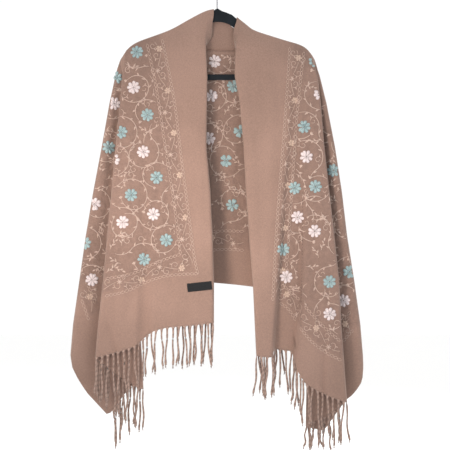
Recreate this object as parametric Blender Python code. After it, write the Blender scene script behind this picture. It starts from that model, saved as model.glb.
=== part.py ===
"""A fringed, embroidered shawl draped as an open-front poncho over a slim clothes hanger.

Frame: +Z up, the opening faces -Y, +X is to the right as seen from the front. The origin is where a rail
would carry the wire hook. Sizes below are in millimetres and are turned into metres when meshes are made.
"""

import bmesh
import bpy
import numpy as np
from mathutils import Vector

MM = 0.001

# ---- driving sizes -------------------------------------------------------------------------------------
WALL = 2.0                  # the wool cloth, with its nap
SEAM = 0.3                  # gap between touching pieces
ARM_HALF = 3.0              # half the hanger's thickness
RIDGE_RADIUS = ARM_HALF + SEAM + WALL / 2 + 0.2     # the cloth's middle as it rounds the arm
TIP_Z = -181.0              # height of the cloth on the hanger's shoulder tips
PLEAT_START, PLEAT_FULL = 10.0, 85.0                # drop below the tips over which the side pleats form
STRAND_PITCH = 13.0
STRAND_LENGTH = 86.0
STRAND_WIDTH = 3.0
LEFT_LOWEST = -1068.0       # the outer corners' strands are worn shorter and end here
RIGHT_LOWEST = -1077.0
STRAND_SHARES = (0.35, 0.7, 1.0)            # of its length, at each ring of a strand
STRAND_SWAY = ((1.6, 1.0, 3.4), (1.0, 1.7, 2.6))    # sideways and forth: reach, pace along the hem, wave
STRAND_THIN = 0.95          # share of a strand's width under its root, and what it gains to its frayed end
STRAND_FRAY = 0.2
STRAND_PHASE = 2.1          # radians from one strand's sway to the next
STRAND_UNEVEN = (0.05, 1.9)                 # share by which lengths differ, and its pace along the hem
FRINGE_MARGIN = 2.5         # from the end of a hem to its first strand
STRIP_HEIGHT = 4.0
LEAST_STEP = 0.3            # between two stations of the strip
HEM_GAP = 0.45              # from a level hem down to its fringe
HEM_SLANT = 0.7             # more gap for each step that the hem climbs
STEEP = 2.2                 # a hem that climbs more than this has no room for strands side by side
HALF_SEAM = 0.4             # half the gap at the cloth's middle, on the ridge and down the sides
TIP_THIN = 0.3              # the wall's share of its thickness where it is stretched over the shoulder tip
TIP_ROUND = 5.0             # over which the cloth rounds the shoulder tip
TROUGH_SIDE = 5.0
BACK_WAVE = 3.0
BACK_WAVE_PITCH = 26.0
BACK_WAVE_FROM = (260, 600)                 # heights below the hook over which the back's waves set in
NECK_STAND = 3.0            # the free edge at the neck stands this much further back
NECK_EASE = 0.02            # share of the back's height over which it does
GATHER = 28.0               # drop below the neck over which the opening's fold forms
FRONT_LEAN = 0.3            # how far the cloth leans out for each millimetre that it falls past the arm
BACK_LEAN = 0.12
TROUGH_START = 60.0         # over which a trough sets in
SIDE_EASE = 0.35            # share of the back over which the pleat's depth fades out
LAYER_STEP = 1.0            # how far the second layer drifts back behind the first
LAYER_GAP = 0.5             # least step from the valley to the third layer
# radius of each fold at the shoulder tip, and what it gains for each millimetre further down
BENDS = {"inner": (3.0, 0.007), "fold": (2.6, 0.006), "valley": (2.6, 0.0062), "side": (5.0, 0.009)}
BEND_REACH = 700.0          # the folds grow no more below this
THIN_REACH = (0.002, 0.016)                 # metres from the tip over which the wall gains its thickness
MERGE = 1e-5                # metres
TOUCH = 1e-6                # metres within which two stations are the same
SHARP_ANGLE = 50            # degrees
PLEAT_RUNS = ("fold", "second", "valley", "third", "side")
# where the pleat's runs lie on the plain round of the shoulder tip: runs passed, and the angle there
PLAIN_ROUND = ((0, 4.5, 5), (-np.pi / 2, 0, np.pi / 2))

WOOL = (0.42, 0.25, 0.19)
FRINGE = (0.36, 0.22, 0.17)
LABEL_BLACK = (0.01, 0.01, 0.012)
HANGER_BLACK = (0.012, 0.014, 0.016)
STEEL = (0.6, 0.6, 0.62)

# Horizontal sections of each half, from the neck down. a is the distance outward from the hook's line.
# inner: the opening edge. flap: width turned under there, turn: how far it is turned, in degrees.
# front: how far the front layer stands forward. fold, valley, side: the pleat's front fold, its hidden
# valley and the silhouette. side_y, back_y: how far back the silhouette and the back layer are.
SECTION_COLUMNS = ("z", "inner", "flap", "turn", "front", "fold", "valley", "side", "side_y", "back_y")
LEFT_SECTIONS = (
    (-90, 12, 5, 0, 9, 207, 205, 209.5, 0, 8),
    (-120, 22, 12, 30, 11, 207, 205, 209.5, 0, 10),
    (-150, 27, 22, 50, 13, 207, 205, 209.5, 0, 12),
    (-180, 26, 18, 112, 14, 207, 205, 209.5, 0, 14),
    (-190, 25.5, 19, 162, 14, 208, 205, 212, 0, 14),
    (-196, 25.2, 20, 172, 14.2, 208.5, 205, 215, 0, 14),
    (-203, 25, 22, 174, 14.5, 209, 205, 219, 0, 14),
    (-225, 24, 26, 174, 15, 211, 204, 226, 0.5, 15),
    (-240, 23, 30, 176, 15, 213, 203, 230, 1, 16),
    (-300, 24, 36, 175, 17, 218, 200, 243, 2, 18),
    (-400, 25, 46, 174, 21, 228, 195, 261, 3, 22),
    (-500, 16, 56, 174, 25, 237, 190, 280, 4, 26),
    (-600, 11, 66, 174, 29, 246.5, 185, 297, 5, 30),
    (-700, 8, 74, 174, 33, 255.5, 180, 311.5, 6, 32),
    (-800, 8, 80, 174, 38, 266, 175, 326, 7, 32),
    (-870, 8, 84, 174, 41, 272, 170, 332, 8, 33),
    (-950, 8, 84, 174, 43, 279, 166, 338, 9, 33),
    (-1050, 8, 84, 174, 44, 286, 162, 344, 9, 33),
)
RIGHT_SECTIONS = (
    (-100, 49, 5, 0, 9, 207, 206, 209.5, 0, 8),
    (-135, 46, 10, 34, 11, 207, 206, 209.5, 0, 11),
    (-177, 42, 16, 90, 13, 207, 206, 209.5, 0, 14),
    (-190, 41, 20, 155, 14, 209, 206, 214, 0, 14),
    (-203, 40.5, 22, 174, 14.5, 214, 206, 220, 0, 14),
    (-225, 40, 25, 174, 15, 221, 206, 226, 0.5, 15),
    (-240, 40, 28, 176, 15, 225, 207, 231, 1, 16),
    (-300, 51, 36, 175, 17, 232, 208, 246, 2, 18),
    (-400, 60, 46, 174, 21, 240, 207, 265.5, 3, 22),
    (-500, 65, 55, 172, 25, 251, 206, 281, 4, 26),
    (-600, 72, 62, 168, 29, 262, 205, 293, 5, 30),
    (-700, 80, 68, 164, 33, 272.5, 204, 309, 6, 32),
    (-800, 84.5, 70, 150, 39, 277, 203, 323, 7, 32),
    (-870, 88, 70, 138, 43, 282, 202, 329, 8, 33),
    (-970, 92, 70, 130, 46, 289, 200, 333, 9, 33),
    (-1050, 94, 70, 130, 47, 293, 198, 336, 9, 33),
)

# Top of the drape over the arms, as (a, z). It ends on the shoulder tip.
LEFT_RIDGE = ((0, -87.5), (8, -88.2), (20, -90.5), (33.5, -95.5), (68, -114), (102, -134), (137, -147),
              (180, -162), (197, -173), (205, TIP_Z))
RIGHT_RIDGE = ((33, -97.5), (47, -109), (65, -123), (80, -136), (121, -149), (156, -160), (182, -167),
               (198, -174.5), (205, TIP_Z))

# Hems as (a, z). The back's hem and the last stretch of the third one are the long outer edge.
LEFT_HEMS = {
    "flap": ((8, -794), (40, -796), (92, -800)),
    "front": ((9, -794), (60, -800), (116, -805), (142, -812), (161, -826), (184, -847), (227, -861),
              (272, -872)),
    "second": ((272, -872), (240, -900), (205, -925), (170, -944)),
    "third": ((165, -944), (191, -935), (211, -958), (228, -984), (247, -1006), (276, -975), (294, -955),
              (314, -924), (327, -897), (332, -868)),
    "back": ((332, -868), (290, -830), (200, -770), (100, -724), (8, -707), (-20, -709)),
}
RIGHT_HEMS = {
    "flap": ((88, -866), (100, -850), (160, -814)),
    "front": ((88, -868), (122, -871), (128, -854), (169, -859), (178, -899), (196, -929), (222, -944),
              (248, -957), (289, -971)),
    "second": ((289, -971), (250, -1000), (201, -1024)),
    "third": ((198, -1026), (206, -1030), (240, -1039), (262, -1010), (290, -971), (304, -960), (317, -944),
              (327, -927), (331, -885)),
    "back": ((331, -885), (290, -845), (210, -775), (140, -733), (80, -716), (20, -709)),
}
LEFT_CORNER, RIGHT_CORNER = 247, 240        # a of the cloth's outer corners, where the fringe ends

# Soft troughs down the fronts, as rows of height, inner edge, outer edge and depth.
LEFT_TROUGHS = (
    ((-250, 160, 168, 0), (-520, 160, 172, 2.5), (-700, 152, 172, 5), (-850, 148, 176, 9)),
    ((-700, 226, 232, 0), (-800, 226, 233, 2), (-870, 222, 230, 5)),
)
RIGHT_TROUGHS = (
    ((-200, 172, 184, 1), (-384, 162, 186, 5), (-519, 149, 191, 8), (-744, 134, 190, 14),
     (-865, 125, 174, 19)),
    ((-640, 246, 252, 0), (-800, 238, 246, 3), (-950, 232, 240, 5)),
)

# The back's free edge across the neck, as (x, z): it dips behind the hanger between the two ridges.
NECK_EDGE = ((-8, -88.2), (-7.4, -93), (-4, -99), (2, -107), (10, -116), (24, -127), (34, -131),
             (40, -124), (43.4, -111.5), (44, -106.5))
LEFT_NECK = 8
RIGHT_NECK = 44

# How many columns each run of a section has, and the share of a column's length at each row.
RUN_STEPS = {"flap": 4, "inner": 5, "front": 16, "fold": 4, "second": 3, "valley": 4, "side": 3}
CORNER_STEPS = (4, 5)       # the third layer's columns on each side of the outer corner
BACK_STEPS = 10
NECK_SHARES = (0.012, 0.06, 0.25, 0.5, 0.75, 0.94, 0.988)
ROUNDED_ROWS = (0, 0.0005, 0.0018, 0.004, 0.008, 0.016, 0.03, 0.05, 0.08, 0.115, 0.15, 0.185, 0.24)
HANGING_ROWS = 8

LABEL_STEPS = (8, 2)
LABEL = {"x": -39.5, "z": -713.0, "width": 55.0, "height": 19.0, "tilt": 6.0, "thick": 0.8}

# The hanger's frame, as paired points (x, z) of its outer and inner outlines, from the neck to mid bar.
HANGER_OUTER = ((0, -85.5), (6, -89.6), (12, -92.8), (20, -95.2), (33, -100.7), (44, -110), (65, -126),
                (80, -139), (121, -152), (156, -163), (182, -170.2), (195, -176), (202, -184), (204, -192),
                (203, -204), (195, -222), (180, -238), (160, -247), (140, -248), (0, -248))
HANGER_INNER = ((0, -116.5), (4, -116.6), (9, -117), (16, -118.3), (26, -122), (38, -130), (55, -143),
                (71, -155), (115, -169), (150, -180), (172, -186), (181, -191), (185, -196), (186, -201),
                (185, -208), (178, -219), (168, -229), (154, -234.4), (138, -235.2), (0, -235.2))
EDGE_ROUND = 1.8
HOOK_WIRE = 3.6
HOOK_RADIUS = 21.0          # of the wire's middle
HOOK_SWEEP = 205            # degrees, from HOOK_START
HOOK_START = -5
HOOK_STEPS = 16
SHANK_RISE = 8.0            # straight part over the hanger's neck
# the wire from the shank to the round, as (x, z) under the round's middle
HOOK_SHANK = ((0, -36), (3, -28), (11, -21), (18, -11))


def smooth(value, start, end):
    """0 before start, 1 past end and an even ease between them."""
    part = np.clip((value - start) / (end - start), 0, 1)
    return part * part * (3 - 2 * part)


def curve(points, value):
    """The second coordinate of a line of points at value, for points in rising or falling order."""
    line = np.array(points, float)
    line = line[np.argsort(line[:, 0], kind="stable")]
    return np.interp(value, line[:, 0], line[:, 1])


class Half:
    """One half of the shawl: where its cloth is at a height z, along runs from the opening to the back."""

    def __init__(self, sign, sections, ridge, hems, corner, troughs, neck):
        self.sign, self.ridge, self.hems, self.neck = sign, ridge, hems, neck
        rows = np.array(sections, float)[::-1]
        self.sections = {name: rows[:, index] for index, name in enumerate(SECTION_COLUMNS)}
        self.troughs = [np.array(trough, float)[::-1] for trough in troughs]
        self.tip = ridge[-1][0]
        self.mouth = self.at("inner", curve(ridge, neck + 3))
        self.corner_part = self.find_corner(corner)

    def at(self, name, z):
        return np.interp(z, self.sections["z"], self.sections[name])

    def bend(self, name, z):
        """Radius of a fold, growing down the drape."""
        start, grow = BENDS[name]
        return start + grow * np.clip(TIP_Z - z, 0, BEND_REACH)

    def over_arm(self, a, z, lean):
        """Distance of the cloth's middle from the hanger's plane: it rounds the arm, then leans away."""
        drop = np.maximum(curve(self.ridge, a) - z, 0)
        rounded = np.sqrt(np.maximum(drop * (2 * RIDGE_RADIUS - drop), 0))
        return np.where(drop < RIDGE_RADIUS, rounded, RIDGE_RADIUS + lean * (drop - RIDGE_RADIUS))

    def forward(self, a, z):
        """How far the front layer stands forward of the hanger."""
        stand = np.minimum(self.over_arm(a, z, FRONT_LEAN), self.at("front", z))
        for trough in self.troughs:
            start, end, depth = (np.interp(z, trough[:, 0], trough[:, column]) for column in (1, 2, 3))
            inside = smooth(a, start - TROUGH_SIDE, start + TROUGH_SIDE)
            inside = inside * (1 - smooth(a, end - TROUGH_SIDE, end + TROUGH_SIDE))
            stand = stand - inside * depth * smooth(trough[-1, 0] - z, 0, TROUGH_START)
        return stand

    def behind(self, a, z):
        """How far the back layer is behind the hanger."""
        return np.minimum(self.over_arm(a, z, BACK_LEAN), self.at("back_y", z))

    def opening(self, run, part, z):
        """(a, y) on the flap and the inner fold, which gather into the cloth's edge at the ridge."""
        bend, turn = self.bend("inner", z), np.radians(self.at("turn", z))
        start = self.at("inner", z) + bend * np.sin(np.minimum(turn, np.pi / 2))
        front_y = -self.forward(start, z)
        angle = turn * (1 - part) if run == "inner" else turn
        a, y = start - bend * np.sin(angle), front_y + bend * (1 - np.cos(angle))
        if run == "flap":
            length = self.at("flap", z) * (1 - part)
            a, y = a - length * np.cos(turn), y + length * np.sin(turn)
        along = self.neck + (self.mouth - self.neck) * (part + (run == "inner")) / 2
        gathered = smooth(curve(self.ridge, self.neck) - z, 0, GATHER)
        along_y = -self.forward(along, z)
        return along + (a - along) * gathered, along_y + (y - along_y) * gathered

    def front(self, part, z):
        bend, turn = self.bend("inner", z), np.radians(self.at("turn", z))
        start = self.at("inner", z) + bend * np.sin(np.minimum(turn, np.pi / 2))
        gathered = smooth(curve(self.ridge, self.neck) - z, 0, GATHER)
        start = self.mouth + (start - self.mouth) * gathered
        end = np.where(z > TIP_Z, self.tip, self.at("fold", z) - self.bend("fold", z))
        a = start + (end - start) * part
        return a, -self.forward(a, z)

    def pleat(self, run, part, z):
        """(a, y) from the front fold round to the back: one round at the shoulder tip, then a pleat."""
        fold, valley, side = (self.at(name, z) for name in ("fold", "valley", "side"))
        bend_fold, bend_valley, bend_side = (self.bend(name, z) for name in ("fold", "valley", "side"))
        side_y = self.at("side_y", z)
        front_a = fold - bend_fold
        front_y = -self.forward(front_a, z)
        second_y = front_y + 2 * bend_fold
        third_y = side_y - bend_side
        second_end = second_y + LAYER_STEP
        deep_y = np.minimum(second_end + 2 * bend_valley, third_y - LAYER_GAP)
        swing = np.pi * (part - 0.5)
        if run == "fold":
            a, y = fold - bend_fold * (1 - np.cos(swing)), front_y + bend_fold * (1 + np.sin(swing))
        elif run == "second":
            a, y = front_a + (valley + bend_valley - front_a) * part, second_y + LAYER_STEP * part
        elif run == "valley":
            a = valley + bend_valley * (1 - np.cos(swing))
            y = (second_end + deep_y) / 2 + (deep_y - second_end) / 2 * np.sin(swing)
        elif run == "third":
            a = valley + bend_valley + (side - bend_side - valley - bend_valley) * part
            y = deep_y + (third_y - deep_y) * part
        else:
            a, y = side - bend_side * (1 - np.cos(swing)), side_y + bend_side * np.sin(swing)
        around = np.interp(PLEAT_RUNS.index(run) + part, *PLAIN_ROUND)
        plain_a = front_a + (side - front_a) * np.cos(around)
        plain_y = np.where(around < 0, front_y, self.behind(self.tip, z)) * np.abs(np.sin(around))
        formed = smooth(TIP_Z - z, PLEAT_START, PLEAT_FULL)
        a, y = plain_a + (a - plain_a) * formed, plain_y + (y - plain_y) * formed
        rounding = np.sqrt(1 - (1 - np.clip((TIP_Z - z) / TIP_ROUND, 0, 1)) ** 2)
        return self.tip + (a - self.tip) * rounding, y

    def back(self, part, z):
        """(a, y) on the back layer: part 0 beside the silhouette, 1 under the neck's edge."""
        side_a, side_y = self.pleat("side", 1.0, np.minimum(z, TIP_Z))
        a = side_a + (self.neck - side_a) * part
        wave = BACK_WAVE * np.sin(a / BACK_WAVE_PITCH) * smooth(-z, *BACK_WAVE_FROM)
        wave = wave * smooth(part, 0, SIDE_EASE)
        level = self.behind(a, z)
        pleat_y = side_y - self.behind(self.tip, np.minimum(z, TIP_Z))
        return a, level + wave + pleat_y * (1 - smooth(part, 0, SIDE_EASE))

    def point(self, run, part, z):
        """(a, y) of the cloth's middle at a share of a run, at height z."""
        if run in ("flap", "inner"):
            return self.opening(run, part, z)
        if run == "front":
            return self.front(part, z)
        if run == "back":
            return self.back(part, z)
        return self.pleat(run, part, z)

    def top(self, run, part):
        """Height where a column leaves the ridge over the arm."""
        if run in PLEAT_RUNS:
            return np.full(np.shape(part), TIP_Z)
        z = np.full(np.shape(part), -130.0)
        for _ in range(40):
            z = 0.5 * z + 0.5 * curve(self.ridge, np.clip(self.point(run, part, z)[0], self.neck, self.tip))
        return z

    def bottom(self, run, part):
        """Height where a column meets its hem."""
        table = {"inner": "front", "fold": "front", "valley": "third", "side": "third"}.get(run, run)
        z = np.full(np.shape(part), -850.0)
        for _ in range(30):
            z = 0.6 * z + 0.4 * curve(self.hems[table], self.point(run, part, z)[0])
        return z

    def find_corner(self, corner):
        """The share of the third layer at which its hem has the cloth's outer corner."""
        parts = np.linspace(0, 1, 201)
        reach = self.point("third", parts, self.bottom("third", parts))[0]
        return float(np.interp(corner, reach, parts))

    def place(self, run, part, depth):
        """World point in metres at a share of a run and a depth from 0 on the ridge to 1 on the hem."""
        top, bottom = self.top(run, part), self.bottom(run, part)
        z = top + (bottom - top) * depth
        a, y = self.point(run, part, z)
        return np.array([self.sign * a, y, z], float) * MM


LEFT = Half(-1, LEFT_SECTIONS, LEFT_RIDGE, LEFT_HEMS, LEFT_CORNER, LEFT_TROUGHS, LEFT_NECK)
RIGHT = Half(1, RIGHT_SECTIONS, RIGHT_RIDGE, RIGHT_HEMS, RIGHT_CORNER, RIGHT_TROUGHS, RIGHT_NECK)


def row_depths():
    """Shares of a column's length, close together where the cloth rounds the arm."""
    hanging = np.linspace(ROUNDED_ROWS[-1], 1, HANGING_ROWS + 1)[1:]
    return list(ROUNDED_ROWS) + list(hanging)


def front_columns(half):
    """(run, part) of every column from the flap's raw edge to the silhouette."""
    columns = []
    for run in ("flap", "inner", "front", "fold", "second", "valley"):
        columns += [(run, step / RUN_STEPS[run]) for step in range(RUN_STEPS[run])]
    before, after = CORNER_STEPS
    corner = half.corner_part
    columns += [("third", corner * step / before) for step in range(before)]
    columns += [("third", corner + (1 - corner) * step / after) for step in range(after)]
    columns += [("side", 0.5 * step / RUN_STEPS["side"]) for step in range(RUN_STEPS["side"] + 1)]
    return columns


def back_columns():
    columns = [("side", 0.5 + 0.5 * step / RUN_STEPS["side"]) for step in range(RUN_STEPS["side"])]
    return columns + [("back", step / BACK_STEPS) for step in range(BACK_STEPS + 1)]


def neck_point(share, depth):
    """The back between the two ridges, under its free edge."""
    x = -LEFT_NECK + (LEFT_NECK + RIGHT_NECK) * share
    top = curve(NECK_EDGE, x)
    bottom = LEFT.bottom("back", 1.0) * (1 - share) + RIGHT.bottom("back", 1.0) * share
    z = top + (bottom - top) * depth
    left_y, right_y = LEFT.back(1.0, z)[1], RIGHT.back(1.0, z)[1]
    stand = NECK_STAND * smooth(depth, 0, NECK_EASE) * 4 * share * (1 - share)
    return np.array([x, left_y * (1 - share) + right_y * share + stand, z]) * MM


# ---- making meshes -------------------------------------------------------------------------------------
def make_object(name, verts, faces, colour, roughness, metallic=0.0):
    mesh = bpy.data.meshes.new(name)
    mesh.from_pydata([tuple(vert) for vert in verts], [], faces)
    build = bmesh.new()
    build.from_mesh(mesh)
    bmesh.ops.remove_doubles(build, verts=build.verts, dist=MERGE)
    bmesh.ops.recalc_face_normals(build, faces=build.faces)
    build.to_mesh(mesh)
    build.free()
    mesh.shade_smooth()
    mesh.set_sharp_from_angle(angle=np.radians(SHARP_ANGLE))
    thing = bpy.data.objects.new(name, mesh)
    bpy.context.scene.collection.objects.link(thing)
    thing.data.materials.append(make_material(name, colour, roughness, metallic))
    return thing


def make_material(name, colour, roughness, metallic):
    material = bpy.data.materials.new(name)
    material.use_nodes = True
    shader = material.node_tree.nodes["Principled BSDF"]
    shader.inputs["Base Color"].default_value = (*colour, 1)
    shader.inputs["Roughness"].default_value = roughness
    shader.inputs["Metallic"].default_value = metallic
    return material


def make_wall(name, grid):
    """A cloth wall from a grid of points: columns of equal length, given from one edge to the other."""
    count = len(grid[0])
    verts = [point for column in grid for point in column]
    faces = []
    for left in range(len(grid) - 1):
        for row in range(count - 1):
            first = left * count + row
            faces.append((first, first + 1, first + 1 + count, first + count))
    wall = make_object(name, verts, faces, WOOL, 0.9)
    group = wall.vertex_groups.new(name="thickness")
    tips = [Vector((half.sign * half.tip * MM, 0, TIP_Z * MM)) for half in (LEFT, RIGHT)]
    for vert in wall.data.vertices:
        away = min((vert.co - tip).length for tip in tips)
        group.add([vert.index], TIP_THIN + (1 - TIP_THIN) * float(smooth(away, *THIN_REACH)), "REPLACE")
    shell = wall.modifiers.new("thickness", "SOLIDIFY")
    shell.thickness = WALL * MM
    shell.offset = 0
    shell.vertex_group = group.name
    return wall


def draw_back(point, neighbour):
    """A point of the seam, drawn back level toward its neighbour by half the gap."""
    step = (neighbour - point) * (1, 1, 0)
    return point + step / np.linalg.norm(step) * HALF_SEAM * MM


def open_ridge(run, column, side):
    """Draws a column's top back from the seam on the ridge. The pleat's columns all start at one point."""
    if run in PLEAT_RUNS:
        column[0] = column[0] + np.array([0, side * HALF_SEAM * MM, 0])
    else:
        column[0] = draw_back(column[0], column[1])
    return column


def make_front(name, half):
    columns = front_columns(half)
    grid = []
    for run, part in columns:
        grid.append(open_ridge(run, [half.place(run, part, depth) for depth in row_depths()], -1))
    grid[-1][1:] = [draw_back(point, beside) for point, beside in zip(grid[-1][1:], grid[-2][1:])]
    make_wall(name, grid)
    hem = [column[-1] for (run, part), column in zip(columns, grid)
           if run not in ("third", "side") or (run == "third" and part <= half.corner_part + 1e-9)]
    return hem


def make_back():
    grid = []
    for half in (LEFT, RIGHT):
        strip = []
        for run, part in back_columns():
            strip.append(open_ridge(run, [half.place(run, part, depth) for depth in row_depths()], 1))
        strip[0][1:] = [draw_back(point, beside) for point, beside in zip(strip[0][1:], strip[1][1:])]
        if half is LEFT:
            grid = strip
            grid += [[neck_point(share, depth) for depth in row_depths()] for share in NECK_SHARES]
        else:
            grid += strip[::-1]
    make_wall("shawl_back", grid)


def stations_along(path):
    """Stations along a hem: its corners and the edges of each strand's root, and where strands start."""
    path = np.array(path)
    length = np.concatenate([[0], np.cumsum(np.linalg.norm(np.diff(path, axis=0), axis=1))])
    half_root = STRAND_WIDTH * MM / 2
    steps = np.diff(path, axis=0)
    slope = abs(steps[:, 2]) / np.maximum(np.linalg.norm(steps[:, :2], axis=1), 1e-9)
    margin = FRINGE_MARGIN * MM + half_root
    count = int((length[-1] - 2 * margin) / (STRAND_PITCH * MM) + STRAND_WIDTH / STRAND_PITCH)
    roots = []
    for middle in np.linspace(margin, length[-1] - margin, count + 1):
        near = length[np.argsort(abs(length - middle))[:2]]
        places = [middle] + [corner + side * half_root for corner in near for side in (1, -1)]
        for place in places:
            inside = abs(length - place) < half_root - TOUCH
            crowded = roots and place - half_root < roots[-1][1] + 2 * half_root
            if not inside.any() and not crowded and abs(np.interp(place, length[1:], slope)) < STEEP:
                roots.append((place - half_root, place + half_root))
                break
    edges = sorted({round(value, 7) for value in list(length) + [end for root in roots for end in root]})
    kept = [edges[0]]
    for value in edges[1:]:
        if value - kept[-1] > LEAST_STEP * MM:
            kept.append(value)
    points = np.stack([np.interp(kept, length, path[:, axis]) for axis in range(3)], -1)
    starts = {int(np.argmin(abs(np.array(kept) - root[0]))) for root in roots}
    return points, starts


def strand_sway(index, share):
    """Sideways and forward swing of a strand in millimetres at a share of its length."""
    phase = index * STRAND_PHASE
    return [reach * np.sin(pace * phase + wave * share) * share for reach, pace, wave in STRAND_SWAY]


def make_fringe(name, hem, lowest):
    points, starts = stations_along(hem)
    drop = np.array([0, 0, -1.0])
    verts, faces = [], []
    for index, point in enumerate(points):
        before, after = points[max(index - 1, 0)], points[min(index + 1, len(points) - 1)]
        along = (after - before)[:2]
        level = max(np.linalg.norm(along), 1e-9)
        normal = np.array([along[1], -along[0], 0]) / level
        steps = (point - before, after - point)
        slope = max(abs(step[2]) / max(np.linalg.norm(step[:2]), 1e-9) for step in steps)
        gap = HEM_GAP + HEM_SLANT * min(slope, STEEP * 2)
        for down, side in ((gap, 1), (gap, -1), (gap + STRIP_HEIGHT, -1), (gap + STRIP_HEIGHT, 1)):
            verts.append(point + drop * down * MM + normal * side * WALL / 2 * MM)
    faces.append((0, 1, 2, 3))
    last = 4 * (len(points) - 1)
    faces.append((last + 3, last + 2, last + 1, last))
    strand = 0
    for index in range(len(points) - 1):
        here, there = 4 * index, 4 * index + 4
        faces.append((here, there, there + 1, here + 1))
        faces.append((here + 1, there + 1, there + 2, here + 2))
        faces.append((here + 3, there + 3, there, here))
        root = (here + 3, here + 2, there + 2, there + 3)
        if index not in starts:
            faces.append(root)
            continue
        middle = sum(np.array(verts[corner]) for corner in root) / 4
        ring = list(root)
        uneven, pace = STRAND_UNEVEN
        length = min(STRAND_LENGTH, middle[2] / MM - lowest) * (1 + uneven * np.sin(strand * pace))
        for share in STRAND_SHARES:
            side, forth = strand_sway(strand, share)
            centre = middle + np.array([side, forth, -length * share]) * MM
            width = STRAND_WIDTH * (STRAND_THIN + STRAND_FRAY * share) / 2 * MM
            new = []
            for corner in root:
                offset = np.array(verts[corner]) - middle
                offset[2] = 0
                new.append(len(verts))
                verts.append(centre + offset / max(np.linalg.norm(offset), 1e-9) * width)
            for side_index in range(4):
                following = (side_index + 1) % 4
                faces.append((ring[side_index], ring[following], new[following], new[side_index]))
            ring = new
        faces.append(tuple(ring))
        strand += 1
    make_object(name, verts, faces, FRINGE, 0.92)


def make_label():
    """A flat woven tag on the left front, made from the front's own points and moved out."""
    tilt = np.radians(LABEL["tilt"])
    verts, faces = [], []
    across, up = LABEL_STEPS
    for lift in (WALL / 2 + SEAM, WALL / 2 + SEAM + LABEL["thick"]):
        for column in range(across + 1):
            for row in range(up + 1):
                u, v = (column / across - 0.5) * LABEL["width"], (row / up - 0.5) * LABEL["height"]
                x = LABEL["x"] + u * np.cos(tilt) - v * np.sin(tilt)
                z = LABEL["z"] + u * np.sin(tilt) + v * np.cos(tilt)
                verts.append(np.array([x, -LEFT.forward(-x, z) - lift, z]) * MM)
    layer = (across + 1) * (up + 1)
    for column in range(across):
        for row in range(up):
            first = column * (up + 1) + row
            quad = (first, first + 1, first + up + 2, first + up + 1)
            faces.append(quad)
            faces.append(tuple(corner + layer for corner in quad[::-1]))
    edge = list(range(up + 1))
    edge += [column * (up + 1) + up for column in range(1, across + 1)]
    edge += [across * (up + 1) + row for row in range(up - 1, -1, -1)]
    edge += [column * (up + 1) for column in range(across - 1, 0, -1)]
    for index, corner in enumerate(edge):
        following = edge[(index + 1) % len(edge)]
        faces.append((corner, following, following + layer, corner + layer))
    make_object("woven_label", verts, faces, LABEL_BLACK, 0.7)


def make_hanger():
    """Arms and trouser bar as one rounded frame around the window."""
    outline = list(zip(HANGER_OUTER, HANGER_INNER))
    mirrored = [((-outer[0], outer[1]), (-inner[0], inner[1])) for outer, inner in outline[1:-1]]
    ring = outline + mirrored[::-1]
    verts, faces = [], []
    for outer, inner in ring:
        outer, inner = np.array(outer), np.array(inner)
        inward = (inner - outer) / np.linalg.norm(inner - outer)
        section = ((outer, 0), (outer, 1), (inner, -1), (inner, 0))
        for sign in (-1, 1):
            for end, step in section if sign < 0 else section[::-1]:
                edge = end + inward * EDGE_ROUND * step
                depth = ARM_HALF if step else ARM_HALF - EDGE_ROUND
                verts.append(np.array([edge[0], sign * depth, edge[1]]) * MM)
    size = 8
    for index in range(len(ring)):
        here, there = index * size, (index + 1) % len(ring) * size
        for corner in range(size):
            following = (corner + 1) % size
            faces.append((here + corner, here + following, there + following, there + corner))
    make_object("hanger_body", verts, faces, HANGER_BLACK, 0.85)


def make_hook():
    """The wire: up from the neck, then over the rail in a round hook."""
    route = bpy.data.curves.new("hanger_hook", "CURVE")
    route.dimensions = "3D"
    route.bevel_depth = HOOK_WIRE / 2 * MM
    route.bevel_resolution = 2
    route.use_fill_caps = True
    centre = HOOK_WIRE / 2 - HOOK_RADIUS
    foot = HANGER_OUTER[0][1] + SEAM
    points = [(0, foot), (0, foot + SHANK_RISE)] + [(x, centre + z) for x, z in HOOK_SHANK]
    for step in range(HOOK_STEPS + 1):
        angle = np.radians(HOOK_START + HOOK_SWEEP * step / HOOK_STEPS)
        points.append((HOOK_RADIUS * np.cos(angle), centre + HOOK_RADIUS * np.sin(angle)))
    spline = route.splines.new("POLY")
    spline.points.add(len(points) - 1)
    for slot, (x, z) in zip(spline.points, points):
        slot.co = (x * MM, 0, z * MM, 1)
    hook = bpy.data.objects.new("hanger_hook", route)
    bpy.context.scene.collection.objects.link(hook)
    route.materials.append(make_material("hanger_hook", STEEL, 0.25, 1.0))


def main():
    for thing in list(bpy.data.objects):
        bpy.data.objects.remove(thing)
    make_fringe("fringe_left", make_front("shawl_left", LEFT), LEFT_LOWEST)
    make_fringe("fringe_right", make_front("shawl_right", RIGHT), RIGHT_LOWEST)
    make_back()
    make_label()
    make_hanger()
    make_hook()


main()
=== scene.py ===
import math
import bmesh
import bpy
import numpy as np
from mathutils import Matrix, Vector
from mathutils.bvhtree import BVHTree


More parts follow.
